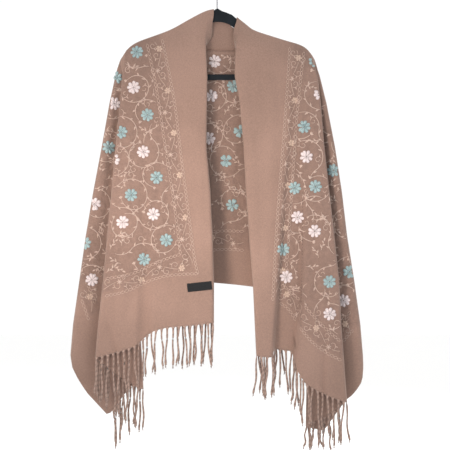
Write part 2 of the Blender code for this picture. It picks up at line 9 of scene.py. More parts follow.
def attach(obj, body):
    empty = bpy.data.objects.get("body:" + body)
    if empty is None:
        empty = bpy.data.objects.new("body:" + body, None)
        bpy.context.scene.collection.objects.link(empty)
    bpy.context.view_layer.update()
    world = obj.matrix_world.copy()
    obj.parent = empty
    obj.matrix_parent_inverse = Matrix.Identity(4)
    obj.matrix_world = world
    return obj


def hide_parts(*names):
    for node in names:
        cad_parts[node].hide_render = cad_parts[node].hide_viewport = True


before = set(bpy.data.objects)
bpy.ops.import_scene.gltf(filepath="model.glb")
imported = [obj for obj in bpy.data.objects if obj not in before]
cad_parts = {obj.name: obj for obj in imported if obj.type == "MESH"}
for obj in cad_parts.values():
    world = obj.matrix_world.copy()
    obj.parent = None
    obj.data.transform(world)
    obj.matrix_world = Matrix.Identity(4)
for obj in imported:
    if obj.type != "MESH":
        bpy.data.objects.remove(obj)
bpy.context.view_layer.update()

mm = 0.001

# sizes of the drape, in mm. a is the distance outward from the hook, z the height under the hook's inside
drape = {
    "ridgeRadius": 4.5, "tipZ": -181.0, "tipA": 205.0, "tipRound": 6.5,
    "pleatStart": 10.0, "pleatFull": 85.0, "pleatHollow": 11.0, "troughSide": 5.0,
    "backWave": 3.0, "backWavePitch": 26.0, "backWaveFrom": (260, 600), "sideEase": 0.35, "neckStand": 3.0,
    "frontLean": 0.3, "backLean": 0.12, "troughStart": 60.0, "gather": 28.0, "bendReach": 700.0,
    "bends": {"inner": (3.0, 0.007), "fold": (2.6, 0.006), "valley": (2.6, 0.0062), "side": (5.0, 0.009)},
    "pleatRuns": ("fold", "second", "valley", "third", "side"),
    "columns": ("z", "inner", "flap", "turn", "front", "fold", "valley", "side", "sideY", "backY"),
    "neckEdge": ((-8, -88.2), (-7.4, -93), (-4, -98), (2, -104), (10, -109), (20, -114), (28, -120),
                 (33, -128), (36, -131), (40, -126), (43.4, -111.5), (44, -106.5)),
}
leftHalf = {
    "sign": -1, "neck": 8, "corner": 247,
    "sections": (
        (-90, 12, 5, 0, 9, 207, 205, 209.5, 0, 8),
        (-120, 22, 12, 30, 11, 207, 205, 209.5, 0, 10),
        (-150, 27, 22, 50, 13, 207, 205, 209.5, 0, 12),
        (-180, 26, 18, 112, 14, 207, 205, 209.5, 0, 14),
        (-190, 25.5, 19, 162, 14, 208, 205, 212, 0, 14),
        (-196, 25.2, 20, 172, 14.2, 208.5, 205, 215, 0, 14),
        (-203, 25, 22, 174, 14.5, 209, 205, 219, 0, 14),
        (-225, 24, 26, 174, 15, 211, 204, 226, 0.5, 15),
        (-240, 23, 30, 176, 15, 213, 203, 230, 1, 16),
        (-300, 24, 36, 175, 17, 218, 200, 243, 2, 18),
        (-400, 25, 46, 174, 21, 228, 195, 261, 3, 22),
        (-500, 16, 56, 174, 25, 237, 190, 280, 4, 26),
        (-600, 11, 66, 174, 29, 246.5, 185, 297, 5, 30),
        (-700, 8, 74, 174, 33, 255.5, 180, 311.5, 6, 32),
        (-800, 8, 80, 174, 38, 266, 175, 326, 7, 32),
        (-870, 8, 84, 174, 41, 272, 170, 332, 8, 33),
        (-950, 8, 84, 174, 43, 279, 166, 338, 9, 33),
        (-1050, 8, 84, 174, 44, 286, 162, 344, 9, 33)),
    "ridge": ((0, -87.5), (8, -88.2), (20, -90.5), (33.5, -95.5), (68, -114), (102, -134), (137, -147),
              (180, -162), (197, -173), (205, -181)),
    "hems": {
        "flap": ((8, -794), (40, -796), (92, -800)),
        "front": ((9, -794), (60, -800), (116, -805), (142, -812), (161, -826), (184, -847), (227, -861),
                  (272, -872)),
        "second": ((272, -872), (240, -900), (205, -925), (170, -944)),
        "third": ((165, -944), (191, -935), (211, -958), (228, -984), (247, -1006), (276, -975), (294, -955),
                  (314, -924), (327, -897), (332, -868)),
        "back": ((332, -868), (290, -830), (200, -770), (100, -724), (8, -707), (-20, -709))},
    "troughs": (
        ((-250, 160, 168, 0), (-520, 160, 172, 2.5), (-700, 152, 172, 5), (-850, 148, 176, 9)),
        ((-700, 226, 232, 0), (-800, 226, 233, 2), (-870, 222, 230, 5))),
}
rightHalf = {
    "sign": 1, "neck": 44, "corner": 240,
    "sections": (
        (-100, 49, 5, 0, 9, 207, 206, 209.5, 0, 8),
        (-135, 46, 10, 34, 11, 207, 206, 209.5, 0, 11),
        (-177, 42, 16, 90, 13, 207, 206, 209.5, 0, 14),
        (-190, 41, 20, 155, 14, 209, 206, 214, 0, 14),
        (-203, 40.5, 22, 174, 14.5, 214, 206, 220, 0, 14),
        (-225, 40, 25, 174, 15, 221, 206, 226, 0.5, 15),
        (-240, 40, 28, 176, 15, 225, 207, 231, 1, 16),
        (-300, 51, 36, 175, 17, 232, 208, 246, 2, 18),
        (-400, 60, 46, 174, 21, 240, 207, 265.5, 3, 22),
        (-500, 65, 55, 172, 25, 251, 206, 281, 4, 26),
        (-600, 72, 62, 168, 29, 262, 205, 293, 5, 30),
        (-700, 80, 68, 164, 33, 272.5, 204, 309, 6, 32),
        (-800, 84.5, 70, 150, 39, 277, 203, 323, 7, 32),
        (-870, 88, 70, 138, 43, 282, 202, 329, 8, 33),
        (-970, 92, 70, 130, 46, 289, 200, 333, 9, 33),
        (-1050, 94, 70, 130, 47, 293, 198, 336, 9, 33)),
    "ridge": ((33, -97.5), (47, -109), (65, -123), (80, -136), (121, -149), (156, -160), (182, -167),
              (198, -174.5), (205, -181)),
    "hems": {
        "flap": ((88, -866), (100, -850), (160, -814)),
        "front": ((88, -868), (122, -871), (128, -854), (169, -859), (178, -899), (196, -929), (222, -944),
                  (248, -957), (289, -971)),
        "second": ((289, -971), (250, -1000), (201, -1024)),
        "third": ((198, -1026), (206, -1030), (240, -1039), (262, -1010), (290, -971), (304, -960),
                  (317, -944), (327, -927), (331, -885)),
        "back": ((331, -885), (290, -845), (210, -775), (140, -733), (80, -716), (20, -709))},
    "troughs": (
        ((-200, 172, 184, 1), (-384, 162, 186, 5), (-519, 149, 191, 9), (-744, 134, 190, 19),
         (-865, 125, 174, 27)),
        ((-640, 246, 252, 0), (-800, 238, 246, 3), (-950, 232, 240, 5))),
}


def rounded(line, times=2):  # cuts a line's corners
    line = np.array(line, float)
    for _ in range(times):
        cut = [line[0]]
        for start, end in zip(line[:-1], line[1:]):
            cut += [start * 0.75 + end * 0.25, start * 0.25 + end * 0.75]
        line = np.array(cut + [line[-1]])
    return line


for half in (leftHalf, rightHalf):  # the arms' line has no corners in the cloth
    half["ridge"] = [tuple(point) for point in rounded(half["ridge"])]


def smooth(value, start, end):  # 0 before the start, 1 past the end and an even ease between
    part = np.clip((value - start) / (end - start), 0, 1)
    return part * part * (3 - 2 * part)


def curveAt(points, value):  # the second coordinate of a line of points
    line = np.array(points, float)
    line = line[np.argsort(line[:, 0], kind="stable")]
    return np.interp(value, line[:, 0], line[:, 1])


def sectionAt(half, name, z):
    rows = np.array(half["sections"], float)[::-1]
    return np.interp(z, rows[:, 0], rows[:, drape["columns"].index(name)])


def bendAt(name, z):
    start, grow = drape["bends"][name]
    return start + grow * np.clip(drape["tipZ"] - z, 0, drape["bendReach"])


def overArm(half, a, z, lean):  # rounds the hanger's arm, then leans away from it
    drop = np.maximum(curveAt(half["ridge"], a) - z, 0)
    radius = drape["ridgeRadius"]
    arc = np.sqrt(np.maximum(drop * (2 * radius - drop), 0))
    return np.where(drop < radius, arc, radius + lean * (drop - radius))


def forward(half, a, z):  # how far the front layer stands in front of the hook
    stand = np.minimum(overArm(half, a, z, drape["frontLean"]), sectionAt(half, "front", z))
    for trough in half["troughs"]:
        rows = np.array(trough, float)[::-1]
        start, end, depth = (np.interp(z, rows[:, 0], rows[:, column]) for column in (1, 2, 3))
        side = drape["troughSide"]
        inside = smooth(a, start - side, start + side) * (1 - smooth(a, end - side, end + side))
        stand = stand - inside * depth * smooth(rows[-1, 0] - z, 0, drape["troughStart"])
    return stand


def behind(half, a, z):  # how far the back layer hangs behind it
    return np.minimum(overArm(half, a, z, drape["backLean"]), sectionAt(half, "backY", z))


def mouthOf(half):  # where the front's first column meets the ridge
    return sectionAt(half, "inner", curveAt(half["ridge"], half["neck"] + 3))


def gathered(half, z):  # 0 at the neck, 1 where the opening's fold is formed
    return smooth(curveAt(half["ridge"], half["neck"]) - z, 0, drape["gather"])


def openingPoint(half, run, part, z):
    bend, turn = bendAt("inner", z), np.radians(sectionAt(half, "turn", z))
    start = sectionAt(half, "inner", z) + bend * np.sin(np.minimum(turn, np.pi / 2))
    frontY = -forward(half, start, z)
    angle = turn * (1 - part) if run == "inner" else turn
    a, y = start - bend * np.sin(angle), frontY + bend * (1 - np.cos(angle))
    if run == "flap":
        length = sectionAt(half, "flap", z) * (1 - part)
        a, y = a - length * np.cos(turn), y + length * np.sin(turn)
    along = half["neck"] + (mouthOf(half) - half["neck"]) * (part + (run == "inner")) / 2
    alongY = -forward(half, along, z)
    share = gathered(half, z)
    return along + (a - along) * share, alongY + (y - alongY) * share


def frontPoint(half, part, z):
    bend, turn = bendAt("inner", z), np.radians(sectionAt(half, "turn", z))
    start = sectionAt(half, "inner", z) + bend * np.sin(np.minimum(turn, np.pi / 2))
    mouth = mouthOf(half)
    start = mouth + (start - mouth) * gathered(half, z)
    end = np.where(z > drape["tipZ"], drape["tipA"], sectionAt(half, "fold", z) - bendAt("fold", z))
    a = start + (end - start) * part
    return a, -forward(half, a, z)


def pleatPoint(half, run, part, z):  # one plain round at the shoulder tip, a pleat below it
    fold, valley, side = (sectionAt(half, name, z) for name in ("fold", "valley", "side"))
    bendFold, bendValley, bendSide = (bendAt(name, z) for name in ("fold", "valley", "side"))
    sideY = sectionAt(half, "sideY", z)
    frontA = fold - bendFold
    frontY = -forward(half, frontA, z)
    secondY = frontY + 2 * bendFold
    thirdY = sideY - bendSide
    deepY = np.minimum(secondY + 1 + 2 * bendValley, thirdY - 0.5)
    swing = np.pi * (part - 0.5)
    if run == "fold":
        a, y = fold - bendFold * (1 - np.cos(swing)), frontY + bendFold * (1 + np.sin(swing))
    elif run == "second":
        a, y = frontA + (valley + bendValley - frontA) * part, secondY + part
    elif run == "valley":
        a = valley + bendValley * (1 - np.cos(swing))
        y = (secondY + 1 + deepY) / 2 + (deepY - secondY - 1) / 2 * np.sin(swing)
    elif run == "third":
        a = valley + bendValley + (side - bendSide - valley - bendValley) * part
        hollow = smooth(part, 0, 0.45) * (1 - smooth(part, 0.55, 1))  # the layer sinks back beside the fold
        y = deepY + (thirdY - deepY) * part + hollow * drape["pleatHollow"] * smooth(-z, 200, 420)
    else:
        a, y = side - bendSide * (1 - np.cos(swing)), sideY + bendSide * np.sin(swing)
    around = np.interp(drape["pleatRuns"].index(run) + part, (0, 4.5, 5), (-np.pi / 2, 0, np.pi / 2))
    plainA = frontA + (side - frontA) * np.cos(around)
    plainY = np.where(around < 0, frontY, behind(half, drape["tipA"], z)) * np.abs(np.sin(around))
    formed = smooth(drape["tipZ"] - z, drape["pleatStart"], drape["pleatFull"])
    a, y = plainA + (a - plainA) * formed, plainY + (y - plainY) * formed
    rounding = 1 - np.exp(-np.maximum(drape["tipZ"] - z, 0) / drape["tipRound"])
    return drape["tipA"] + (a - drape["tipA"]) * rounding, y


def backPoint(half, part, z):
    low = np.minimum(z, drape["tipZ"])
    sideA, sideY = pleatPoint(half, "side", 1.0, low)
    a = sideA + (half["neck"] - sideA) * part
    pastSide = smooth(part, 0, drape["sideEase"])
    wave = (drape["backWave"] * np.sin(a / drape["backWavePitch"])
            * smooth(-z, *drape["backWaveFrom"]) * pastSide)
    pleatY = sideY - behind(half, drape["tipA"], low)
    return a, behind(half, a, z) + wave + pleatY * (1 - pastSide)


def sectionPoint(half, run, part, z):
    if run in ("flap", "inner"):
        return openingPoint(half, run, part, z)
    if run == "front":
        return frontPoint(half, part, z)
    if run == "back":
        return backPoint(half, part, z)
    return pleatPoint(half, run, part, z)


def columnTop(half, run, part):
    if run in drape["pleatRuns"]:
        return np.full(np.shape(part), drape["tipZ"])
    z = np.full(np.shape(part), -130.0)
    for _ in range(40):
        a = np.clip(sectionPoint(half, run, part, z)[0], half["neck"], drape["tipA"])
        z = 0.5 * z + 0.5 * curveAt(half["ridge"], a)
    return z


def columnBottom(half, run, part):
    table = {"inner": "front", "fold": "front", "valley": "third", "side": "third"}.get(run, run)
    z = np.full(np.shape(part), -850.0)
    turned = smooth(part, 0.3, 0.7) if run == "side" else 0  # past the side fold the hem is the back's
    for _ in range(30):
        a = sectionPoint(half, run, part, z)[0]
        front, back = curveAt(half["hems"][table], a), curveAt(half["hems"]["back"], a)
        z = 0.6 * z + 0.4 * (front + (back - front) * turned)
    return z


def placeColumn(half, run, part, depths):  # the column's points, in metres
    top, bottom = columnTop(half, run, part), columnBottom(half, run, part)
    z = top + (bottom - top) * depths
    a, y = sectionPoint(half, run, part, z)
    return np.stack(np.broadcast_arrays(half["sign"] * a, y, z), -1) * mm


def cornerPart(half):  # where the third layer has the cloth's outer corner
    parts = np.linspace(0, 1, 101)
    reach = sectionPoint(half, "third", parts, columnBottom(half, "third", parts))[0]
    return float(np.interp(half["corner"], reach, parts))


# what the needle follows, as (x, z) in mm: the two borders of each front, then the flowers of each layer
leftWork = {
    "edgeLine": ((-124, -158), (-97, -285), (-85, -391), (-68, -522), (-50, -661), (-43, -684)),
    "fieldLine": ((-158, -168), (-137, -263), (-120, -380), (-97, -522), (-82, -641)),
    "endOuter": ((-43, -684), (-93, -686), (-129, -692), (-163, -704), (-201, -724), (-253, -735),
                 (-268, -737)),
    "endInner": ((-82, -641), (-118, -652), (-151, -666), (-185, -684), (-226, -692), (-266, -698)),
    "sideOuter": ((-306, -744), (-290, -790)), "sideInner": ((-296, -700), (-276, -752)),
    "turquoise": ((-181, -186), (-157, -328), (-216, -367), (-136, -469), (-193, -508), (-114, -609),
                  (-164, -652)),
    "white": ((-188, -266), (-166, -411), (-143, -551), (-212, -569)),
    "sideTurquoise": ((-229, -243), (-245, -400), (-299, -616)),
    "sideWhite": ((-233, -301), (-277, -528), (-283, -699)),
    "frontWhite": ((-233, -429),),
}
rightWork = {
    "edgeLine": ((163, -176), (156, -285), (146, -416), (134, -562), (128, -661), (124, -744)),
    "fieldLine": ((195, -186), (188, -242), (179, -328), (176, -373), (166, -519), (157, -654), (150, -713)),
    "endOuter": ((124, -744), (159, -758), (188, -812), (227, -852), (276, -877)),
    "endInner": ((150, -713), (186, -744), (213, -778), (249, -814), (274, -834)),
    "sideOuter": ((284, -838), (306, -812)), "sideInner": ((284, -796), (300, -770)),
    "turquoise": ((220, -206), (195, -355), (174, -492), (220, -489), (148, -630), (251, -702)),
    "white": ((231, -281), (200, -422), (180, -558), (218, -589), (155, -692), (251, -774)),
    "sideTurquoise": ((262, -452), (298, -681)),
    "sideWhite": ((257, -337), (296, -571), (285, -746)),
    "frontWhite": (),
}
backWork = {
    "turquoise": ((-236, -300), (-150, -352), (51, -362), (-92, -468), (34, -530), (-190, -520), (150, -300),
                  (236, -330), (140, -470), (222, -500), (-250, -640), (-126, -570), (250, -622), (20, -429),
                  (36, -260)),
    "white": ((-170, -232), (-80, -262), (-6, -212), (-226, -430), (-14, -282), (-19, -380), (-150, -430),
              (98, -218), (188, -222), (96, -400), (186, -392), (84, -548), (172, -576), (-268, -548),
              (-52, -548), (-196, -608), (286, -706), (276, -540)),
    "endInner": ((-305, -752), (-200, -660), (-100, -604), (20, -588), (120, -600), (210, -664), (305, -770)),
    "endOuter": ((-312, -800), (-200, -700), (-100, -646), (20, -630), (120, -644), (210, -706), (312, -815)),
}
insideWork = {
    "turquoise": ((36, -260), (51, -362), (20, -429), (34, -530)),
    "white": ((-6, -204), (-14, -282), (-19, -378)),
    "endInner": ((-30, -592), (20, -588), (60, -590)), "endOuter": ((-30, -634), (20, -630), (60, -633)),
}

print("the cloth")
cloth = {
    "wall": 1.7, "tipThin": 0.3, "thinReach": (0.002, 0.016), "flat": (0.66, 1.60),
    "columns": {"flap": 5, "inner": 6, "front": 40, "fold": 7, "second": 12, "valley": 6, "third": 18,
                "side": 8},
    "topRows": (0, 0.0005, 0.0018, 0.004, 0.008, 0.014, 0.022, 0.031, 0.04, 0.05, 0.061, 0.072, 0.083, 0.094,
                0.105, 0.115, 0.124, 0.1295, 0.1315),
    "tuckShare": 0.133, "tuckSteps": (0.0022, 0.008), "rows": 106,  # rows at the tuck, then to the hem
    "neckShares": (0.012, 0.06, 0.16, 0.28, 0.4, 0.52, 0.64, 0.76, 0.87, 0.94, 0.988),
    "tuckZ": -181.0, "tuck": 4.4, "tuckEase": (-0.4, 1.6), "tuckFade": (188, 228),
    "tuckFrom": (-92, -50), "tuckTo": (78, 112), "tuckNick": 2.2, "nickWidth": 1.6,
    "creasesFrom": (12, 60), "creasesBelowTip": (60, 80), "creaseEdges": (0.08, 0.92), "backEdge": 0.1,
    "pucker": 0.22, "stitchedPucker": 1.15, "stitchedEase": {"front": 14, "third": 20, "back": 16},
    "backStitchedFrom": (184, 192),
}
# takes the last hard line out of the back: half its width and where that fades, then how it is evened
calmBack = {"reach": 70, "fade": 95, "spread": 13, "columns": 70, "pitch": 2.0, "half": 170, "around": 30,
            "from": (232, 280)}
# drawn threads beside the long trough of the right front: a furrow, ripples that run out of it, and
# near-black thread dashes along its bottom that paint the shadow of its puckers
gathers = {"line": ((192, -500), (191, -640), (187, -800)), "depth": 2.6, "width": 3.6, "ripple": 1.1,
           "rippleWidth": 15, "shadowDashes": ((192, -505), (191, -640), (187, -800)), "pitch": 7.5}
# creases: run, then (a, z) along the crease, half its width and how far it stands forward. With a
# minus it sinks in
leftCreases = (
    ("front", ((30, -250), (34, -420), (38, -600), (46, -780)), 9, 1.3),
    ("front", ((70, -200), (84, -380), (98, -560), (104, -800)), 15, -1.5),
    ("front", ((120, -190), (140, -330), (150, -520)), 11, 1.6),
    ("front", ((182, -215), (196, -400), (208, -620), (214, -840)), 12, 1.8),
    ("front", ((60, -640), (110, -668), (150, -676)), 7, 0.9),
    ("front", ((170, -700), (200, -760), (214, -840)), 8, -1.8),
    ("front", ((258, -735), (244, -790), (228, -856)), 4.5, -3.6),
    ("third", ((236, -300), (262, -560), (286, -800), (300, -900)), 7, 1.2),
    ("back", ((40, -240), (70, -420), (64, -660)), 16, 2.2),
    ("back", ((120, -260), (150, -470), (170, -740)), 18, -2.4),
    ("back", ((200, -260), (226, -480), (260, -780)), 16, 2.4),
)
backFolds = (  # (x, z) along the crease, half its width and how far it stands towards the front
    (((15, -186), (13, -260), (9, -352)), 2.6, 1.5),
    (((-62, -352), (-12, -356), (14, -354), (52, -360)), 2.4, 1.3),
    (((-30, -235), (-34, -330), (-26, -430), (-30, -520)), 10, -2.4),
    (((44, -360), (30, -450), (34, -560), (42, -650)), 12, 2.2),
    (((-8, -380), (-14, -480), (-10, -580), (-18, -690)), 9, 1.6),
)
rightCreases = (
    ("front", ((62, -230), (76, -420), (86, -620), (96, -820)), 9, 1.2),
    ("front", ((82, -490), (112, -492), (143, -487)), 2.6, -1.7),
    ("front", ((110, -190), (122, -340), (120, -520), (112, -700)), 12, 1.7),
    ("front", ((204, -230), (222, -400), (236, -600), (250, -860)), 12, 1.8),
    ("front", ((212, -640), (226, -760), (232, -920)), 8, -1.5),
    ("third", ((238, -300), (266, -560), (286, -780), (300, -930)), 7, 1.2),
    ("back", ((90, -240), (100, -430), (110, -680)), 17, 2.3),
    ("back", ((160, -260), (176, -480), (200, -740)), 15, -2.2),
    ("back", ((236, -330), (262, -560), (290, -820)), 14, 2.2),
)


def alongLine(line, a, z):  # distance from a crease, and how far along it
    line = np.array(line, float)
    best, share = np.full(np.shape(a), 1e9), np.zeros(np.shape(a))
    for index in range(len(line) - 1):
        start, step = line[index], line[index + 1] - line[index]
        part = np.clip(((a - start[0]) * step[0] + (z - start[1]) * step[1]) / (step @ step), 0, 1)
        away = np.hypot(a - start[0] - part * step[0], z - start[1] - part * step[1])
        share = np.where(away < best, (index + part) / (len(line) - 1), share)
        best = np.minimum(best, away)
    return best, share


def ridgeOf(line, width, height, a, z, ends):  # a soft ridge that dies out at both its ends
    away, share = alongLine(line, a, z)
    return height * np.exp(-(away / width) ** 2) * np.sin(np.pi * (ends + (1 - 2 * ends) * share)) ** 0.5


def creaseStand(creases, run, a, z):
    return sum((ridgeOf(line, width, height, a, z, 0.12) for where, line, width, height in creases
                if where == run), np.zeros(np.shape(a)))


def backFoldAt(x, z):
    return sum((ridgeOf(*fold, x, z, 0.06) for fold in backFolds), np.zeros(np.shape(x)))


def between(line, z):  # the x of a line at height z
    line = np.array(sorted(line, key=lambda point: point[1]), float)
    return np.interp(z, line[:, 1], line[:, 0])


def heightOf(line, x):  # the height of a line at x
    line = np.array(sorted(line), float)
    return np.interp(x, line[:, 0], line[:, 1])


def stitchedShare(half, run, a, z):  # 1 where there is embroidery, 0 on the plain bands
    plan = leftWork if half is leftHalf else rightWork
    sign, ease = half["sign"], cloth["stitchedEase"][run]
    if run == "front":
        pastEdge = smooth(a - sign * between(plan["edgeLine"], z), 0, ease)
        return pastEdge * smooth(z - heightOf(plan["endOuter"], sign * a), 0, ease)
    if run == "third":
        return smooth(z - heightOf(plan["sideOuter"], sign * a), 0, ease)
    below = smooth(-z, *cloth["backStitchedFrom"])
    return below * smooth(z - heightOf(backWork["endOuter"], sign * a), 0, ease)


def puckerAt(a, z):  # small waves that the stitching draws into the wool, of lengths that never fall in step
    return (np.sin(a / 4.1 + 2.2 * np.sin(z / 23)) * np.sin(z / 5.3 + 1.7 * np.sin(a / 19))
            + 0.7 * np.sin(a / 7.9 + z / 9.7) * np.sin(z / 13.1 - a / 11.3))


def puckersOn(half, run, a, z):
    pucker = cloth["pucker"] + (cloth["stitchedPucker"] - cloth["pucker"]) * stitchedShare(half, run, a, z)
    return pucker * puckerAt(a, z)


def gatherStand(a, z):
    away, share = alongLine(gathers["line"], a, z)
    fade = np.sin(np.pi * (0.08 + 0.84 * share))
    furrow = gathers["depth"] * np.exp(-(away / gathers["width"]) ** 2) * fade * (1 + 0.45 * np.sin(z / 2.1))
    ripple = gathers["ripple"] * np.exp(-(away / gathers["rippleWidth"]) ** 2) * fade
    return furrow, ripple * np.sin(z / 2.4 + a / 16)


def shapeColumn(half, creases, run, part, shares):  # a column with its creases, puckers and tuck
    column = placeColumn(half, run, part, shares)
    a, z = half["sign"] * column[:, 0] / mm, column[:, 2] / mm
    underArm = curveAt(half["ridge"], np.clip(a, half["neck"], drape["tipA"])) - z
    above, reach = cloth["creasesBelowTip"]
    calm = smooth(underArm, *cloth["creasesFrom"]) * smooth(drape["tipZ"] + above - z, 0, reach)
    if run in ("front", "third"):
        first, last = cloth["creaseEdges"]
        edge = smooth(part, 0, first) * (1 - smooth(part, last, 1))
        forwardBy = creaseStand(creases, run, a, z) + puckersOn(half, run, a, z)
        if half is rightHalf and run == "front":
            furrow, ripple = gatherStand(a, z)
            forwardBy = forwardBy - furrow + ripple
        column[:, 1] -= forwardBy * edge * calm * mm
    if run == "back":
        backBy = creaseStand(creases, run, a, z) + puckersOn(half, run, a, z)
        column[:, 1] += backBy * smooth(part, 0, cloth["backEdge"]) * calm * mm
        column[:, 1] -= tuckAt(half["sign"] * a, z) * mm
    return column


def tuckAcross(x):  # the tuck fades out past both sides of the neck
    return smooth(x, *cloth["tuckFrom"]) * (1 - smooth(x, *cloth["tuckTo"]))


def tuckAt(x, z):  # under the tuck inside the neck the back stands forward, and just over it there is a nick
    below = smooth(cloth["tuckZ"] - z, *cloth["tuckEase"]) * (1 - smooth(-z, *cloth["tuckFade"]))
    nick = np.exp(-((z - cloth["tuckZ"] - cloth["nickWidth"]) / cloth["nickWidth"]) ** 2)
    return tuckAcross(x) * (cloth["tuck"] * below - cloth["tuckNick"] * nick)


def tuckShares(top, bottom, across):  # moves the tuck's row onto its height
    shares = np.array(rowShares)
    share = cloth["tuckShare"]
    there = (cloth["tuckZ"] - top) / (bottom - top)
    moved = np.where(shares <= share, shares * there / share,
                     there + (shares - share) * (1 - there) / (1 - share))
    return shares + (moved - shares) * across


def halfColumns(half, creases):
    shares = np.array(rowShares)
    grid, runs = [], []
    for run, count in cloth["columns"].items():
        last = 1 if run == "side" else 0
        for step in range(count + last):
            grid.append(shapeColumn(half, creases, run, step / count, shares))
            runs.append((run, step / count))
    overRidge = [index for index, (run, part) in enumerate(runs) if run in ("flap", "inner", "front")]
    for index in overRidge[::-1]:
        outward = half["sign"] * grid[index][0, 0] / mm
        part = (drape["tipA"] - outward) / (drape["tipA"] - half["neck"])
        top, bottom = grid[index][0, 2] / mm, float(columnBottom(half, "back", part))
        lowered = tuckShares(top, bottom, tuckAcross(half["sign"] * outward))
        column = shapeColumn(half, creases, "back", part, lowered)
        column[0] = grid[index][0]
        grid.append(column)
        runs.append(("back", part))
    return grid, runs


def sharesOf(half, grid, runs):  # how far each point is within the embroidery
    shares = []
    for column, (run, _) in zip(grid, runs):
        a, z = half["sign"] * column[:, 0] / mm, column[:, 2] / mm
        kind = {"fold": "front", "side": "third"}.get(run, run)
        shown = kind in ("front", "third", "back")
        shares.append(stitchedShare(half, kind, a, z) if shown else np.full(len(z), 0.0))
    return shares


def neckColumn(share):
    x = -leftHalf["neck"] + (leftHalf["neck"] + rightHalf["neck"]) * share
    top = curveAt(drape["neckEdge"], x)
    bottom = columnBottom(leftHalf, "back", 1.0) * (1 - share) + columnBottom(rightHalf, "back", 1.0) * share
    shares = tuckShares(top, bottom, 1.0)
    z = top + (bottom - top) * shares
    y = backPoint(leftHalf, 1.0, z)[1] * (1 - share) + backPoint(rightHalf, 1.0, z)[1] * share
    y = y + drape["neckStand"] * smooth(shares, 0, 0.02) * 4 * share * (1 - share) - tuckAt(x, z)
    return np.stack(np.broadcast_arrays(x, y, z), -1) * mm


def evenBack(left, neck, right):  # over the stretch where the two halves meet
    calm, count = calmBack, calmBack["columns"]
    columns = left[-count:] + neck + right[-count:][::-1]
    points = np.array(columns)
    xs = np.arange(-calm["half"], calm["half"] + 1, calm["pitch"])
    reach = np.arange(-calm["around"], calm["around"] + 1, calm["pitch"])
    kernel = np.exp(-0.5 * (reach / calm["spread"]) ** 2)
    kernel /= kernel.sum()
    for row in range(points.shape[1]):
        line = points[:, row]
        order = np.argsort(line[:, 0])
        level = np.interp(xs, line[order, 0] / mm, line[order, 1])
        evened = np.convolve(np.pad(level, len(kernel) // 2, mode="edge"), kernel, mode="valid")
        weight = 1 - smooth(abs(line[:, 0] / mm), calm["reach"], calm["fade"])
        weight = weight * smooth(-line[:, 2] / mm, *calm["from"])
        points[:, row, 1] += (np.interp(line[:, 0] / mm, xs, evened) - line[:, 1]) * weight
    for column, moved in zip(columns, points):
        column[:] = moved
        column[:, 1] -= backFoldAt(column[:, 0] / mm, column[:, 2] / mm) * mm


def sheetFromGrid(name, grid, shares=None):  # a sheet whose UV map is in metres along the cloth
    points, count = np.array(grid), len(grid[0])
    level = np.linalg.norm(np.diff(points[:, :, :2], axis=0), axis=2)
    fall = np.linalg.norm(np.diff(points, axis=1), axis=2)
    across = np.concatenate([np.zeros((1, count)), np.cumsum(level, axis=0)])
    down = np.concatenate([np.zeros((len(grid), 1)), np.cumsum(fall, axis=1)], 1)
    faces = [(first, first + 1, first + 1 + count, first + count) for left in range(len(grid) - 1)
             for first in range(left * count, left * count + count - 1)]
    mesh = bpy.data.meshes.new(name)
    mesh.from_pydata(points.reshape(-1, 3).tolist(), [], faces)
    corners = np.array(faces).reshape(-1)
    layer = mesh.uv_layers.new(name="clothUV")
    flat = np.stack([across.reshape(-1)[corners], down.reshape(-1)[corners]], -1)
    layer.data.foreach_set("uv", flat.reshape(-1))
    if shares is not None:
        stitchedParts = mesh.attributes.new("stitchedShare", "FLOAT", "POINT")
        stitchedParts.data.foreach_set("value", np.array(shares, np.float32).reshape(-1))
    build = bmesh.new()
    build.from_mesh(mesh)
    bmesh.ops.remove_doubles(build, verts=build.verts, dist=1e-5)
    bmesh.ops.recalc_face_normals(build, faces=build.faces)
    build.to_mesh(mesh)
    build.free()
    thing = bpy.data.objects.new(name, mesh)
    bpy.context.scene.collection.objects.link(thing)
    return thing


def applyModifiers(thing):
    bpy.ops.object.select_all(action="DESELECT")
    thing.select_set(True)
    bpy.context.view_layer.objects.active = thing
    for modifier in list(thing.modifiers):
        bpy.ops.object.modifier_apply(modifier=modifier.name)
    thing.select_set(False)


first, second = cloth["tuckSteps"]
rowShares = list(cloth["topRows"]) + [cloth["tuckShare"], cloth["tuckShare"] + first]
rowShares += list(np.linspace(cloth["tuckShare"] + second, 1, cloth["rows"]))
leftGrid, leftRuns = halfColumns(leftHalf, leftCreases)
rightGrid, rightRuns = halfColumns(rightHalf, rightCreases)
neckGrid = [neckColumn(share) for share in cloth["neckShares"]]
neckRuns = [("back", 1.0)] * len(neckGrid)
evenBack(leftGrid, neckGrid, rightGrid)
stitchedShares = sharesOf(leftHalf, leftGrid, leftRuns) + sharesOf(leftHalf, neckGrid, neckRuns)
stitchedShares += sharesOf(rightHalf, rightGrid, rightRuns)[::-1]
shawl = sheetFromGrid("shawl", leftGrid + neckGrid + rightGrid[::-1], stitchedShares)
group = shawl.vertex_groups.new(name="thickness")
for vert in shawl.data.vertices:
    away = min((vert.co - Vector((side * drape["tipA"], 0, drape["tipZ"])) * mm).length for side in (-1, 1))
    share = float(smooth(away, *cloth["thinReach"]))
    group.add([vert.index], cloth["tipThin"] + (1 - cloth["tipThin"]) * share, "REPLACE")
wall = shawl.modifiers.new("wall", "SOLIDIFY")
wall.thickness = cloth["wall"] * mm
wall.offset = 0
wall.vertex_group = group.name
applyModifiers(shawl)
shawl.data.shade_smooth()
shawlTree = BVHTree.FromPolygons([vert.co for vert in shawl.data.vertices],
                                 [face.vertices for face in shawl.data.polygons])


print("thread and yarn")


